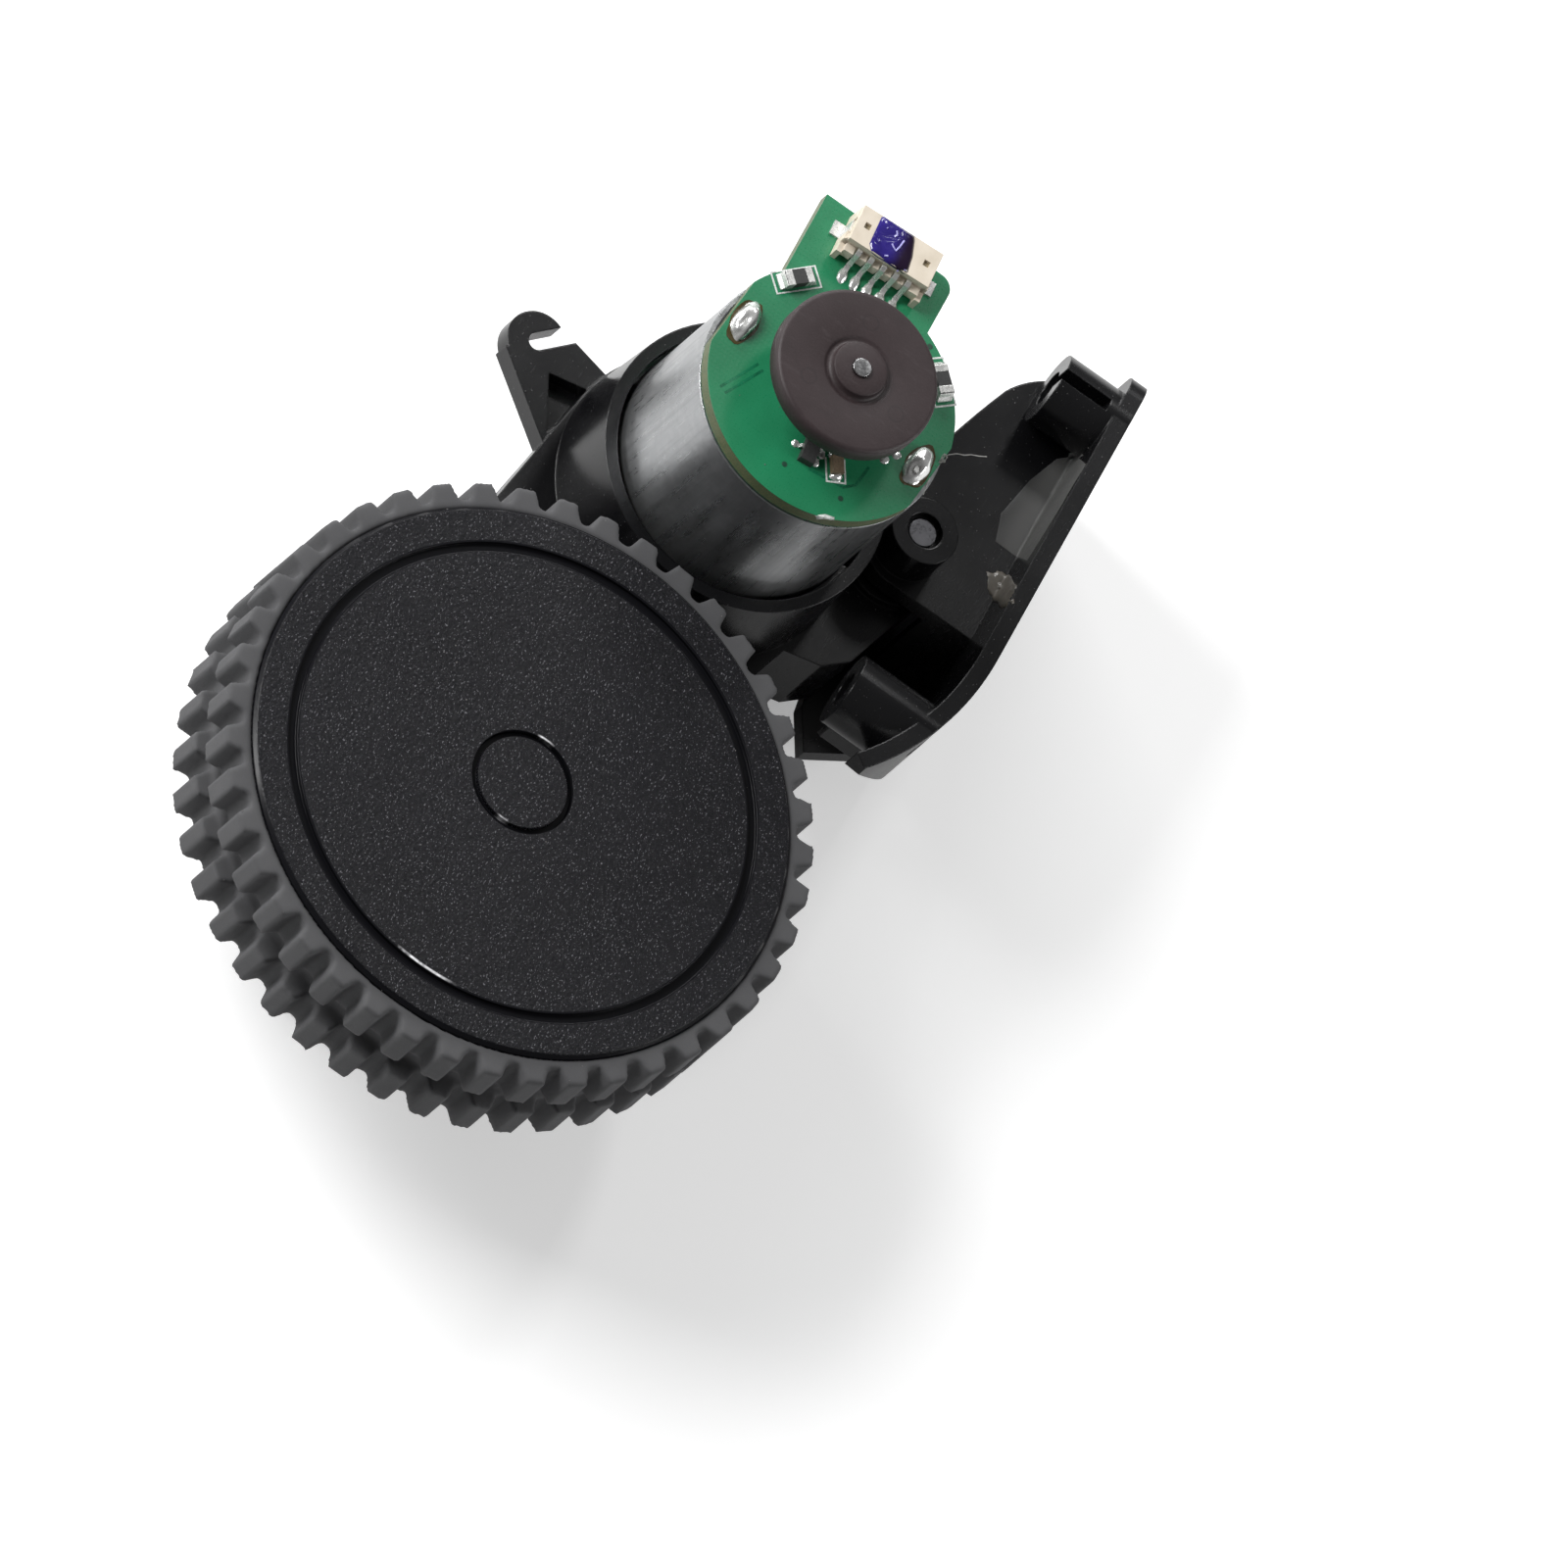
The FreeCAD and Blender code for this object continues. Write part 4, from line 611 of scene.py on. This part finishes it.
def wavy_circle(centre, size, degrees, wobble, count=28):
    """An ellipse with an uneven edge, as spread flux or ink has."""
    along = directed(degrees)
    across = square_to(along)
    points = []
    for i in range(count):
        turn = math.tau * i / count
        x = math.cos(turn)
        y = math.sin(turn)
        reach = 1.0 + wobble * noise.noise(Vector((x * 1.6 + centre[0], y * 1.6, centre[1])))
        place = Vector(centre) + along * (x * size[0] / 2 * reach)
        points.append(place + across * (y * size[1] / 2 * reach))
    return points


def add_tube(shape, points, radius, sides=6):
    """A closed tube through points in metres, its radius in millimetres."""
    rings = []
    normal = None
    for i, point in enumerate(points):
        ahead = (points[min(i + 1, len(points) - 1)] - points[max(i - 1, 0)]).normalized()
        if normal is None:
            normal = ahead.orthogonal().normalized()
        normal = (normal - ahead * normal.dot(ahead)).normalized()
        other = ahead.cross(normal)
        ring = []
        for k in range(sides):
            turn = math.tau * k / sides
            out = normal * math.cos(turn) + other * math.sin(turn)
            ring.append(shape.verts.new(point + out * radius * MM))
        rings.append(ring)
    for first, second in zip(rings, rings[1:]):
        for k in range(sides):
            j = (k + 1) % sides
            shape.faces.new((first[k], first[j], second[j], second[k]))
    shape.faces.new(rings[0])
    shape.faces.new(rings[-1])


def add_profile(shape, profile, width, centre, degrees):
    """A profile of (along, up) points drawn across a width, standing on the board."""
    along = directed(degrees)
    across = square_to(along)
    sides = []
    for half in (-width / 2, width / 2):
        row = []
        for reach, up in profile:
            place = Vector(centre) + along * reach + across * half
            row.append(shape.verts.new(board_point(place.x, place.y, up)))
        sides.append(row)
    count = len(profile)
    shape.faces.new(sides[0])
    shape.faces.new(sides[1])
    for i in range(count):
        j = (i + 1) % count
        shape.faces.new((sides[0][i], sides[0][j], sides[1][j], sides[1][i]))


def add_dome(shape, centre, size, degrees, seed, hollow=None, detail=3):
    """A drop of solder: a lumpy dome on the board, drawn out at its foot, with a dip if it has one."""
    drop = bmesh.new()
    bmesh.ops.create_icosphere(drop, subdivisions=detail, radius=1.0)
    whole = drop.verts[:] + drop.edges[:] + drop.faces[:]
    bmesh.ops.bisect_plane(drop, geom=whole, plane_co=(0, 0, 0), plane_no=(0, 0, 1), clear_inner=True)
    bmesh.ops.holes_fill(drop, edges=drop.edges[:])
    along = directed(degrees)
    across = square_to(along)
    for vertex in drop.verts:
        x, y, z = vertex.co
        lump = 1.0 + LUMPS * noise.noise(Vector((x * 1.5 + seed, y * 1.5, z * 1.5)))
        foot = 1.0 + 0.2 * (1.0 - z) ** 4
        up = z**0.75 * lump
        if hollow:
            dip = math.exp(-((x - hollow[0]) ** 2 + (y - hollow[1]) ** 2) / 0.16)
            up *= 1.0 - 0.4 * dip
        place = Vector(centre) + along * (x * foot * lump * size[0] / 2)
        place += across * (y * foot * lump * size[1] / 2)
        vertex.co = board_point(place.x, place.y, up * size[2] if z > 1e-6 else -0.02)
    mesh = bpy.data.meshes.new("drop")
    drop.to_mesh(mesh)
    drop.free()
    shape.from_mesh(mesh)
    bpy.data.meshes.remove(mesh)


def world_tree(*names):
    """The surfaces of CAD nodes as one tree for ray casts."""
    points = []
    faces = []
    for name in names:
        thing = nodes[name]
        start = len(points)
        points.extend(thing.matrix_world @ v.co for v in thing.data.vertices)
        faces.extend([start + i for i in f.vertices] for f in thing.data.polygons)
    return BVHTree.FromPolygons(points, faces)


def seen_from_camera(tree, px, py):
    """Where a line of sight through a pixel of the picture meets the surfaces, and the normal there."""
    right, up, back = VIEW
    start = ANCHOR + right * ((px - ANCHOR_PIXEL[0]) / SCALE) - up * ((py - ANCHOR_PIXEL[1]) / SCALE)
    place, normal, _, _ = tree.ray_cast((start + back * SIGHT_START) * MM, -back)
    return place, normal


def meet(tree, centre, point, drop):
    """The surface under a picture point, drawn in towards the centre until it is met within a drop."""
    middle, facing = seen_from_camera(tree, *centre)
    for step in range(30):
        place, normal = seen_from_camera(tree, *centre.lerp(point, 1.0 - step * 0.03))
        if place is not None and abs((place - middle).dot(facing)) < drop * MM:
            return place, normal
    return middle, facing


FILM_ROOT = -0.03


def film(name, tree, outline, thickness, finish, body, rings=5, count=40, wobble=0.04, drop=20.0, lip=0.15):
    """A closed skin of ink, grease or paint laid on the surface inside an outline of picture points.

    The lip is the share of its thickness that is left at the edge. Below 0, the edge dips under the
    surface, so that no rim shows.
    """
    outline = [Vector(p) for p in outline]
    centre = sum(outline, Vector((0.0, 0.0))) / len(outline)
    edge = []
    for i in range(count):
        share = i * len(outline) / count
        first = outline[int(share)]
        second = outline[(int(share) + 1) % len(outline)]
        point = first.lerp(second, share % 1.0)
        reach = 1.0 + wobble * noise.noise(Vector((point.x * 0.3, point.y * 0.3, 4.0)))
        edge.append(centre + (point - centre) * reach)
    shape = bmesh.new()
    layers = {}
    for side in (0, 1):
        rows = []
        for ring in range(rings + 1):
            share = ring / rings
            row = []
            for point in edge if ring else [centre]:
                place, normal = meet(tree, centre, centre.lerp(point, share), drop)
                swell = thickness * (1.0 - share**6 * (1.0 - lip)) if side else FILM_ROOT
                row.append(shape.verts.new(place + normal * swell * MM))
            rows.append(row)
        layers[side] = rows
        for j in range(count):
            k = (j + 1) % count
            shape.faces.new((rows[0][0], rows[1][j], rows[1][k]))
            for inner, outer in zip(rows[1:], rows[2:]):
                shape.faces.new((inner[j], outer[j], outer[k], inner[k]))
    for j in range(count):
        k = (j + 1) % count
        shape.faces.new((layers[0][-1][j], layers[0][-1][k], layers[1][-1][k], layers[1][-1][j]))
    return build(name, shape, finish, body, smooth=True)


def groups_by_side(name):
    """Centres of a node's solids on either side of the motor's axis, in board coordinates."""
    centres = []
    points = [nodes[name].matrix_world @ v.co for v in nodes[name].data.vertices]
    for sign in (-1, 1):
        side = [p for p in points if (p.y / MM - MOTOR.y) * sign > 0]
        xs = [p.x / MM - MOTOR.x for p in side]
        ys = [p.y / MM - MOTOR.y for p in side]
        centres.append(Vector(((min(xs) + max(xs)) / 2, (min(ys) + max(ys)) / 2)))
    return centres


def solder_on_terminals():
    """The two large joints, lumpy and bright, with the brown flux that ran out of them."""
    right_joint, left_joint = groups_by_side("solder_joints")
    solder = bmesh.new()
    flux = bmesh.new()
    for seed, centre, hollow in ((1.0, right_joint, (-0.5, 0.1)), (5.0, left_joint, (0.35, -0.2))):
        bearing = math.degrees(math.atan2(centre.y, centre.x)) + 90.0
        add_dome(solder, centre, (4.3, 2.2, 1.35), bearing, seed, hollow, 4)
        add_prism(flux, wavy_circle(centre, (5.6, 3.1), bearing, 0.2), -0.02, 0.035)
    joints = build("terminal_solder", solder, finishes["solder"], "arm", smooth=True)
    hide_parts("solder_joints")
    build("flux_rings", flux, flux_brown, "arm")


def small_solder():
    """Feet of solder at the leads, the sensor's pins and the capacitor, and two bare pads."""
    solder = bmesh.new()
    for way in LEADS:
        foot = socket_spot(-3.85, way * LEAD_PITCH)
        add_dome(solder, foot, (1.6, 0.95, 0.36), SOCKET_TURN, 9.0 + way)
    # The sensor's feet, the capacitor's ends and the bare pads
    for i, (x, y) in enumerate(((-7.4, 0.75), (-6.75, -2.2), (-7.95, -2.05))):
        add_dome(solder, (x, y), (0.75, 0.8, 0.22), 96.0, 20.0 + i)
    for i, reach in enumerate((-1.15, 1.15)):
        place = CAPACITOR_PLACE + directed(CAPACITOR_TURN) * reach
        add_dome(solder, place, (0.9, 1.25, 0.5), CAPACITOR_TURN, 31.0 + i)
    for i, (x, y) in enumerate(((-2.8, -8.1), (-1.5, -9.0))):
        add_dome(solder, (x, y), (1.0, 0.8, 0.12), -35.0, 40.0 + i)
    build("small_solder", solder, finishes["solder"], "arm", smooth=True)


def sensor_pins():
    """The hall sensor's three bent legs."""
    pins = bmesh.new()
    gull = ((0.0, 0.62), (0.26, 0.62), (0.42, 0.16), (0.78, 0.14))
    gull += ((0.78, 0.02), (0.34, 0.02), (0.18, 0.46), (0.0, 0.46))
    for foot, degrees in (((-7.4, 0.0), 96.4), ((-6.5, -1.65), 276.4), ((-7.7, -1.5), 276.4)):
        start = Vector(foot) - directed(degrees) * 0.05
        add_profile(pins, gull, 0.42, start, degrees)
    build("sensor_pins", pins, finishes["tinned"], "arm")


def bead_ends():
    """Tinned caps on both ends of each ferrite bead, running down into their solder."""
    caps = bmesh.new()
    # Along the bead and up: under its end, over it and down the solder's slope
    profile = ((0.78, 0.0), (0.78, 1.13), (1.5, 1.13), (1.66, 0.95), (1.8, 0.45), (2.1, 0.12), (2.15, 0.0))
    for centre in groups_by_side("ferrite_beads"):
        bearing = math.degrees(math.atan2(centre.y, centre.x))
        for degrees in (bearing + 90.0, bearing - 90.0):
            add_profile(caps, profile, 1.66, centre, degrees)
    build("bead_ends", caps, finishes["tinned"], "arm")


def board_print():
    """White printed outlines, dark traces under the mask and the plated holes."""
    white = bmesh.new()
    for centre in groups_by_side("ferrite_beads"):
        bearing = math.degrees(math.atan2(centre.y, centre.x))
        along = directed(bearing + 90.0)
        side = directed(bearing)
        for reach in (-2.6, 2.6):
            add_prism(white, rectangle(centre + along * reach, (0.2, 2.5), bearing + 90.0), SUNK, 0.025)
        for reach in (-1.17, 1.17):
            add_prism(white, rectangle(centre + side * reach, (5.2, 0.16), bearing + 90.0), SUNK, 0.02)
    out = directed(CAPACITOR_TURN)
    across = square_to(out)
    corners = ((-0.9, 1.05), (1.75, 1.05), (1.75, -1.05), (-0.9, -1.05))
    frame_line = [CAPACITOR_PLACE + out * a + across * b for a, b in corners]
    add_prism(white, ribbon(frame_line, 0.2), SUNK, 0.025)
    build("board_print", white, print_white, "arm")
    traces = bmesh.new()
    for shift in (0.0, 0.75):
        start = (-7.3 + shift * 0.4, 9.7 + shift)
        end = (-2.4 + shift * 0.4, 7.4 + shift)
        add_prism(traces, ribbon([start, end], 0.28), SUNK, 0.012)
    add_prism(traces, ribbon([(-9.0, -1.7), (-8.4, -5.8), (-7.3, -6.8), (-4.6, -7.1)], 0.3), SUNK, 0.012)
    add_prism(traces, ribbon([(11.2, -3.4), (12.1, -1.6), (12.2, 0.0)], 0.3), SUNK, 0.012)
    build("board_traces", traces, mask_dark, "arm")
    holes = bmesh.new()
    for x, y in ((11.55, -6.5), (-10.2, 0.7), (-9.7, -6.1), (-3.5, -10.8)):
        add_prism(holes, wavy_circle((x, y), (0.62, 0.62), 0.0, 0.0, 16), SUNK, 0.018)
    build("board_holes", holes, hole_dark, "arm")


def socket_spot(depth, side):
    """Board coordinates of a point given along the socket's depth and its length."""
    along = directed(SOCKET_TURN)
    return SOCKET_PLACE + along * depth + square_to(along) * side


def add_box(shape, depths, sides, lifts):
    """A box on the board, given between two depths, two sides and two lifts of the socket."""
    corners = ((depths[0], sides[0]), (depths[1], sides[0]), (depths[1], sides[1]), (depths[0], sides[1]))
    add_prism(shape, [socket_spot(*corner) for corner in corners], *lifts)


def wire_socket():
    """The cream body with its comb of blocks between the leads, in place of the plain one."""
    body = bmesh.new()
    # The floor and the back wall
    add_box(body, (-1.15, 2.6), (-4.9, 4.9), (0.0, 0.6))
    add_box(body, (-1.5, -0.9), (-4.9, 4.9), (0.0, 3.0))
    # The roof, left open at the two small windows
    window = (0.2, 0.92)
    add_box(body, (-1.75, window[0]), (-4.8, 4.8), (2.9, 3.6))
    add_box(body, (window[1], 2.6), (-4.8, 4.8), (2.9, 3.6))
    for low, high in ((-4.8, -3.95), (-3.25, 3.25), (3.95, 4.8)):
        add_box(body, window, (low, high), (2.9, 3.6))
    # The end walls and the comb
    for side in (-1, 1):
        wall = sorted((side * 4.5, side * 5.1))
        add_box(body, (-2.65, -1.5), wall, (0.0, 1.7))
        add_box(body, (-1.5, -0.5), wall, (0.0, 2.6))
        add_box(body, (1.2, 2.6), sorted((side * 4.4, side * 4.9)), (0.6, 2.95))
        add_box(body, (-0.5, 1.2), sorted((side * 4.4, side * 4.75)), (0.6, 2.95))
        add_box(body, (-2.4, -1.4), sorted((side * 3.4, side * 4.5)), (0.9, 2.15))
    # The blocks between the leads
    for middle in (-2.25, -0.75, 0.75, 2.25):
        add_box(body, (-2.3, -1.4), (middle - 0.4, middle + 0.4), (0.9, 2.15))
    socket = build("wire_socket", body, finishes["socket_cream"], "arm")
    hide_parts("socket_housing")
    # Painted shade: darker tan blocks fill the two roof windows, standing in for the dim inside of the
    # socket.
    shade = bmesh.new()
    for side in (-1, 1):
        middle = side * 3.6
        add_box(shade, (0.15, 0.97), (middle - 0.4, middle + 0.4), (2.75, 3.3))
    build("socket_window_shade", shade, window_shade_tan, "arm")
    metal_parts = bmesh.new()
    # The upper side of a lead, from the back wall down to its foot
    bend = ((-1.3, 2.75), (-1.95, 2.7), (-2.3, 2.3), (-2.85, 0.5), (-3.1, 0.28), (-4.3, 0.26))
    thick = 0.2
    lower = [(reach + 0.05, max(0.04, up - thick)) for reach, up in bend]
    for way in LEADS:
        place = socket_spot(0.0, way * LEAD_PITCH)
        add_profile(metal_parts, bend + tuple(lower[::-1]), 0.55, place, SOCKET_TURN)
    leads = build("bent_leads", metal_parts, finishes["tinned"], "arm")
    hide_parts("socket_leads")
    tabs = bmesh.new()
    for side in (-1, 1):
        add_box(tabs, (-0.3, 1.1), sorted((side * 4.7, side * 4.98)), (0.0, 2.3))
        add_box(tabs, (-0.45, 1.25), sorted((side * 4.8, side * 6.2)), (0.0, 0.28))
    anchors = build("tinned_anchors", tabs, finishes["tinned"], "arm")
    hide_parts("socket_anchors")
    return socket


def encoder_disc():
    """The bonded magnet's disc at its full width, with a rounded rim and a boss in a ring groove."""
    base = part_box("encoder_magnet")[1].z / MM
    # Radius and lift: the boss, its groove, the face, the rim, the underside and the collar
    turned = ((1.04, 0.0), (2.6, 0.0), (2.95, -0.12), (3.1, -0.75), (3.35, -0.9), (3.62, -0.82))
    turned += ((3.8, -0.72), (3.9, -0.7), (8.5, -0.7), (8.62, -0.71), (8.88, -0.8), (9.0, -1.0))
    turned += ((9.0, -2.75), (8.85, -2.95), (8.6, -3.0), (3.4, -3.0), (3.3, -3.3), (3.2, -4.2), (1.04, -4.2))
    shape = bmesh.new()
    count = 96
    rings = []
    for radius, lift in turned:
        ring = []
        for k in range(count):
            angle = math.tau * k / count
            x = MOTOR.x + radius * math.cos(angle)
            y = MOTOR.y + radius * math.sin(angle)
            ring.append(shape.verts.new((x * MM, y * MM, (base + lift) * MM)))
        rings.append(ring)
    for first, second in zip(rings, rings[1:] + rings[:1]):
        for k in range(count):
            j = (k + 1) % count
            shape.faces.new((first[k], first[j], second[j], second[k]))
    disc = build("encoder_disc", shape, finishes["bonded_magnet"], "motor_rotor", smooth=True)
    disc.data.set_sharp_from_angle(angle=math.radians(50))
    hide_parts("encoder_magnet")


def ink_on_socket(socket):
    """Blue-violet marking ink, thick and glossy, with pale tubes on its wrinkles as painted highlights."""
    points = [socket.matrix_world @ v.co for v in socket.data.vertices]
    tree = BVHTree.FromPolygons(points, [list(f.vertices) for f in socket.data.polygons])
    outline = ((901.2, 218.2), (915.7, 228.7), (925.1, 236.4), (932.8, 240.4), (933.2, 246.0))
    outline += ((931.1, 262.1), (926.2, 277.5), (920.8, 279.6), (911.5, 275.2), (900.3, 266.6))
    outline += ((889.2, 257.6), (887.3, 248.4), (893.5, 234.7))
    film("socket_ink", tree, outline, 0.2, ink_violet, "arm", rings=7, count=65, wobble=0.0, drop=0.4)
    # Painted highlights: pale violet tubes laid on the ink where light catches its wrinkles.
    highlight_strokes = (
        ((909.4, 249.5), (910.9, 253.0), (913.2, 256.8), (917.5, 252.5), (921.8, 246.4)),
        ((914.4, 236.5), (914.8, 241.0), (911.5, 242.0)),
        ((904.4, 233.0), (904.9, 233.8)),
        ((895.9, 246.0), (896.3, 246.6)),
        ((901.8, 261.6), (905.2, 262.0)),
        ((916.2, 274.6), (917.0, 275.2)),
        ((921.9, 276.0), (922.7, 276.8)),
    )
    shape = bmesh.new()
    for stroke in highlight_strokes:
        points = []
        for px, py in stroke:
            place, normal = meet(tree, Vector((910.0, 245.0)), Vector((px, py)), 0.4)
            points.append(place + normal * 0.2 * MM)
        add_tube(shape, points, 0.1)
    build("ink_painted_highlights", shape, painted_ink_highlight, "arm")


def marks():
    """A painted reflection and a beige smear on the bracket, a nick on the can's rim, fibres at the board's
    edge.
    """
    bracket = world_tree("pivot_bracket")
    # Painted reflection: a thin patch on the bracket that pales towards the plate, standing in for light
    # reflected there.
    patch = ((1101, 461), (1113, 470), (1080, 524), (1047, 577), (1034, 572))
    patch += ((1012, 556), (1018, 525), (1050, 488), (1080, 464))
    reflection_finish = sheen("painted_reflection_black", -2.8, 1.0)
    film("bracket_painted_reflection", bracket, patch, 0.02, reflection_finish, "bracket", rings=10, count=72, wobble=0.0, lip=-0.6)
    smear = ((1008, 585), (1020, 583), (1032, 588), (1038, 600))
    smear += ((1034, 614), (1024, 620), (1013, 614), (1007, 600))
    film("bracket_smear", bracket, smear, 0.06, smear_beige, "bracket", wobble=0.25)
    can = world_tree("motor_can", "gearbox_housing", "encoder_board")
    nick = ((832, 526), (842, 524.5), (852, 528), (851, 531), (841, 529.5), (833, 530))
    film("can_nick", can, nick, 0.03, print_white, "arm", rings=2, count=24, wobble=0.1)
    right, up, back = VIEW
    knot = (961, 467)
    anchor, _ = seen_from_camera(can, *knot)
    fibres = bmesh.new()
    strands = [
        (knot, (968, 464), (976, 463), (984, 464.5), (991, 464), (999, 465.5), (1007, 466)),
        (knot, (957, 474), (951, 481), (947, 491), (942, 505)),
    ]
    for _ in range(9):
        turn = random.uniform(0, math.tau)
        strand = []
        for k in range(6):
            turn += random.uniform(-0.9, 0.9)
            reach = 1.1 * k
            strand.append((knot[0] + math.cos(turn) * reach, knot[1] + math.sin(turn) * reach))
        strands.append(strand)
    for strand in strands:
        points = []
        for px, py in strand:
            lift = 0.35 + random.uniform(-0.08, 0.08)
            shift = right * ((px - knot[0]) / SCALE) - up * ((py - knot[1]) / SCALE) + back * lift
            points.append(anchor + shift * MM)
        add_tube(fibres, points, 0.045, 5)
    build("loose_fibres", fibres, fibre_pale, "arm")


STEEPEST = 0.2


def dust():
    """Specks that lie on the sides that face up, on those less steep than the limit."""
    parts = (
        ("arm_dust", "arm", ("gearbox_housing", "motor_can", "encoder_board"), 90),
        ("bracket_dust", "bracket", ("pivot_bracket",), 45),
        ("wheel_dust", "wheel", ("wheel_rim", "tyre"), 110),
    )
    for name, body, names, count in parts:
        tree = world_tree(*names)
        low = Vector([min(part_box(n)[0][i] for n in names) for i in range(3)])
        high = Vector([max(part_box(n)[1][i] for n in names) for i in range(3)])
        shape = bmesh.new()
        for _ in range(count):
            x = random.uniform(low.x, high.x)
            y = random.uniform(low.y, high.y)
            size = random.uniform(0.05, 0.13) * MM
            turn = random.uniform(0, math.tau)
            place, normal, _, _ = tree.ray_cast(Vector((x, y, high.z + 0.02)), Vector((0, 0, -1)))
            if place is None or normal.z < STEEPEST:
                continue
            side = normal.orthogonal().normalized()
            other = normal.cross(side)
            base = []
            for k in range(5):
                angle = turn + math.tau * k / 5
                reach = size * random.uniform(0.6, 1.2)
                out = (side * math.cos(angle) + other * math.sin(angle)) * reach
                base.append(shape.verts.new(place + out - normal * 0.01 * MM))
            tip = shape.verts.new(place + normal * size * 0.6)
            shape.faces.new(base)
            for k in range(5):
                shape.faces.new((base[k], base[(k + 1) % 5], tip))
        build(name, shape, dust_grey, body)


solder_on_terminals()
small_solder()
sensor_pins()
bead_ends()
board_print()
encoder_disc()
ink_on_socket(wire_socket())
marks()
dust()


def soften(name, cell, rounds):
    """Rounds the moulded edges of a CAD node for the picture, its own mesh left as it is."""
    even = nodes[name].modifiers.new("even", "REMESH")
    even.mode = "VOXEL"
    even.voxel_size = cell * MM
    even.use_smooth_shade = True
    relax = nodes[name].modifiers.new("relax", "SMOOTH")
    relax.factor = 0.5
    relax.iterations = rounds


soften("tyre", 0.32, 1)


# Stage: a white floor that keeps the shadow, a plain world and soft lamps, in metres and watts

FLOOR_GAP = 0.0002
FLOOR_REACH = 2.0
FLOOR_WHITE = (0.86, 0.86, 0.86, 1.0)
FLOOR_GLOW = 0.34
WORLD_LIGHT = 0.13


def white_floor():
    """A wide white floor just under the part, which glows a little for the camera alone."""
    level = cad_low.z - FLOOR_GAP
    reach = FLOOR_REACH
    mesh = bpy.data.meshes.new("floor")
    mesh.from_pydata(
        [(-reach, -reach, level), (reach, -reach, level), (reach, reach, level), (-reach, reach, level)],
        [],
        [(0, 1, 2, 3)],
    )
    floor = bpy.data.objects.new("floor", mesh)
    bpy.context.collection.objects.link(floor)
    material = bpy.data.materials.new("floor_white")
    material.use_nodes = True
    tree = material.node_tree
    tree.nodes.clear()
    output = tree.nodes.new("ShaderNodeOutputMaterial")
    diffuse = tree.nodes.new("ShaderNodeBsdfDiffuse")
    diffuse.inputs["Color"].default_value = FLOOR_WHITE
    glow = tree.nodes.new("ShaderNodeEmission")
    rays = tree.nodes.new("ShaderNodeLightPath")
    seen = tree.nodes.new("ShaderNodeMath")
    seen.operation = "MULTIPLY"
    seen.inputs[1].default_value = FLOOR_GLOW
    tree.links.new(rays.outputs["Is Camera Ray"], seen.inputs[0])
    tree.links.new(seen.outputs[0], glow.inputs["Strength"])
    add = tree.nodes.new("ShaderNodeAddShader")
    tree.links.new(diffuse.outputs[0], add.inputs[0])
    tree.links.new(glow.outputs[0], add.inputs[1])
    tree.links.new(add.outputs[0], output.inputs["Surface"])
    mesh.materials.append(material)


def plain_world():
    """White for the camera, and a dim white for the light that it gives."""
    world = bpy.data.worlds.new("studio")
    bpy.context.scene.world = world
    world.use_nodes = True
    tree = world.node_tree
    background = tree.nodes["Background"]
    background.inputs["Color"].default_value = (1.0, 1.0, 1.0, 1.0)
    rays = tree.nodes.new("ShaderNodeLightPath")
    strength = tree.nodes.new("ShaderNodeMapRange")
    strength.inputs["To Min"].default_value = WORLD_LIGHT
    strength.inputs["To Max"].default_value = 1.0
    tree.links.new(rays.outputs["Is Camera Ray"], strength.inputs["Value"])
    tree.links.new(strength.outputs["Result"], background.inputs["Strength"])


def lamp(name, place, aim, size, watts):
    """A soft rectangular lamp that points at a place."""
    data = bpy.data.lights.new(name, "AREA")
    data.shape = "RECTANGLE"
    data.size, data.size_y = size
    data.energy = watts
    light = bpy.data.objects.new(name, data)
    bpy.context.collection.objects.link(light)
    light.location = place
    light.rotation_mode = "QUATERNION"
    light.rotation_quaternion = (Vector(aim) - Vector(place)).to_track_quat("-Z", "Y")


def camera():
    """View along the photograph's direction, rolled as it is there."""
    right, up, back = VIEW
    shift_right = (PICTURE / 2 - ANCHOR_PIXEL[0]) / SCALE
    shift_down = (PICTURE / 2 - ANCHOR_PIXEL[1]) / SCALE
    target = ANCHOR + right * shift_right - up * shift_down
    data = bpy.data.cameras.new("camera")
    data.type = "ORTHO"
    data.ortho_scale = PICTURE / SCALE * MM
    data.clip_start = 0.01
    data.clip_end = 10.0
    view = bpy.data.objects.new("camera", data)
    bpy.context.collection.objects.link(view)
    place = (target + back * CAMERA_DISTANCE) * MM
    turn = Matrix((right, up, back)).transposed().to_4x4()
    view.matrix_world = Matrix.Translation(place) @ turn
    bpy.context.scene.camera = view


def studio():
    """Four lamps around the part, placed by the camera's directions."""
    right, up, back = VIEW
    centre = Vector((-0.03, 0.025, 0.0))
    lamps = (
        ("key", right * -0.35 + up * 0.55 + back * 0.5, (0.5, 0.35), 8.5),
        ("fill", right * 0.7 - up * 0.2 + back * 0.12, (0.4, 0.3), 2.6),
        ("spark", Vector((0.709, -0.011, 0.705)) * 0.8, (0.1, 0.1), 0.9),
        ("rim", right * 0.1 + up * 0.75 - back * 0.05, (0.5, 0.2), 3.0),
    )
    for name, shift, size, watts in lamps:
        lamp(name, centre + shift, centre, size, watts)


white_floor()
plain_world()
camera()
studio()
bpy.context.scene.view_settings.view_transform = "Standard"
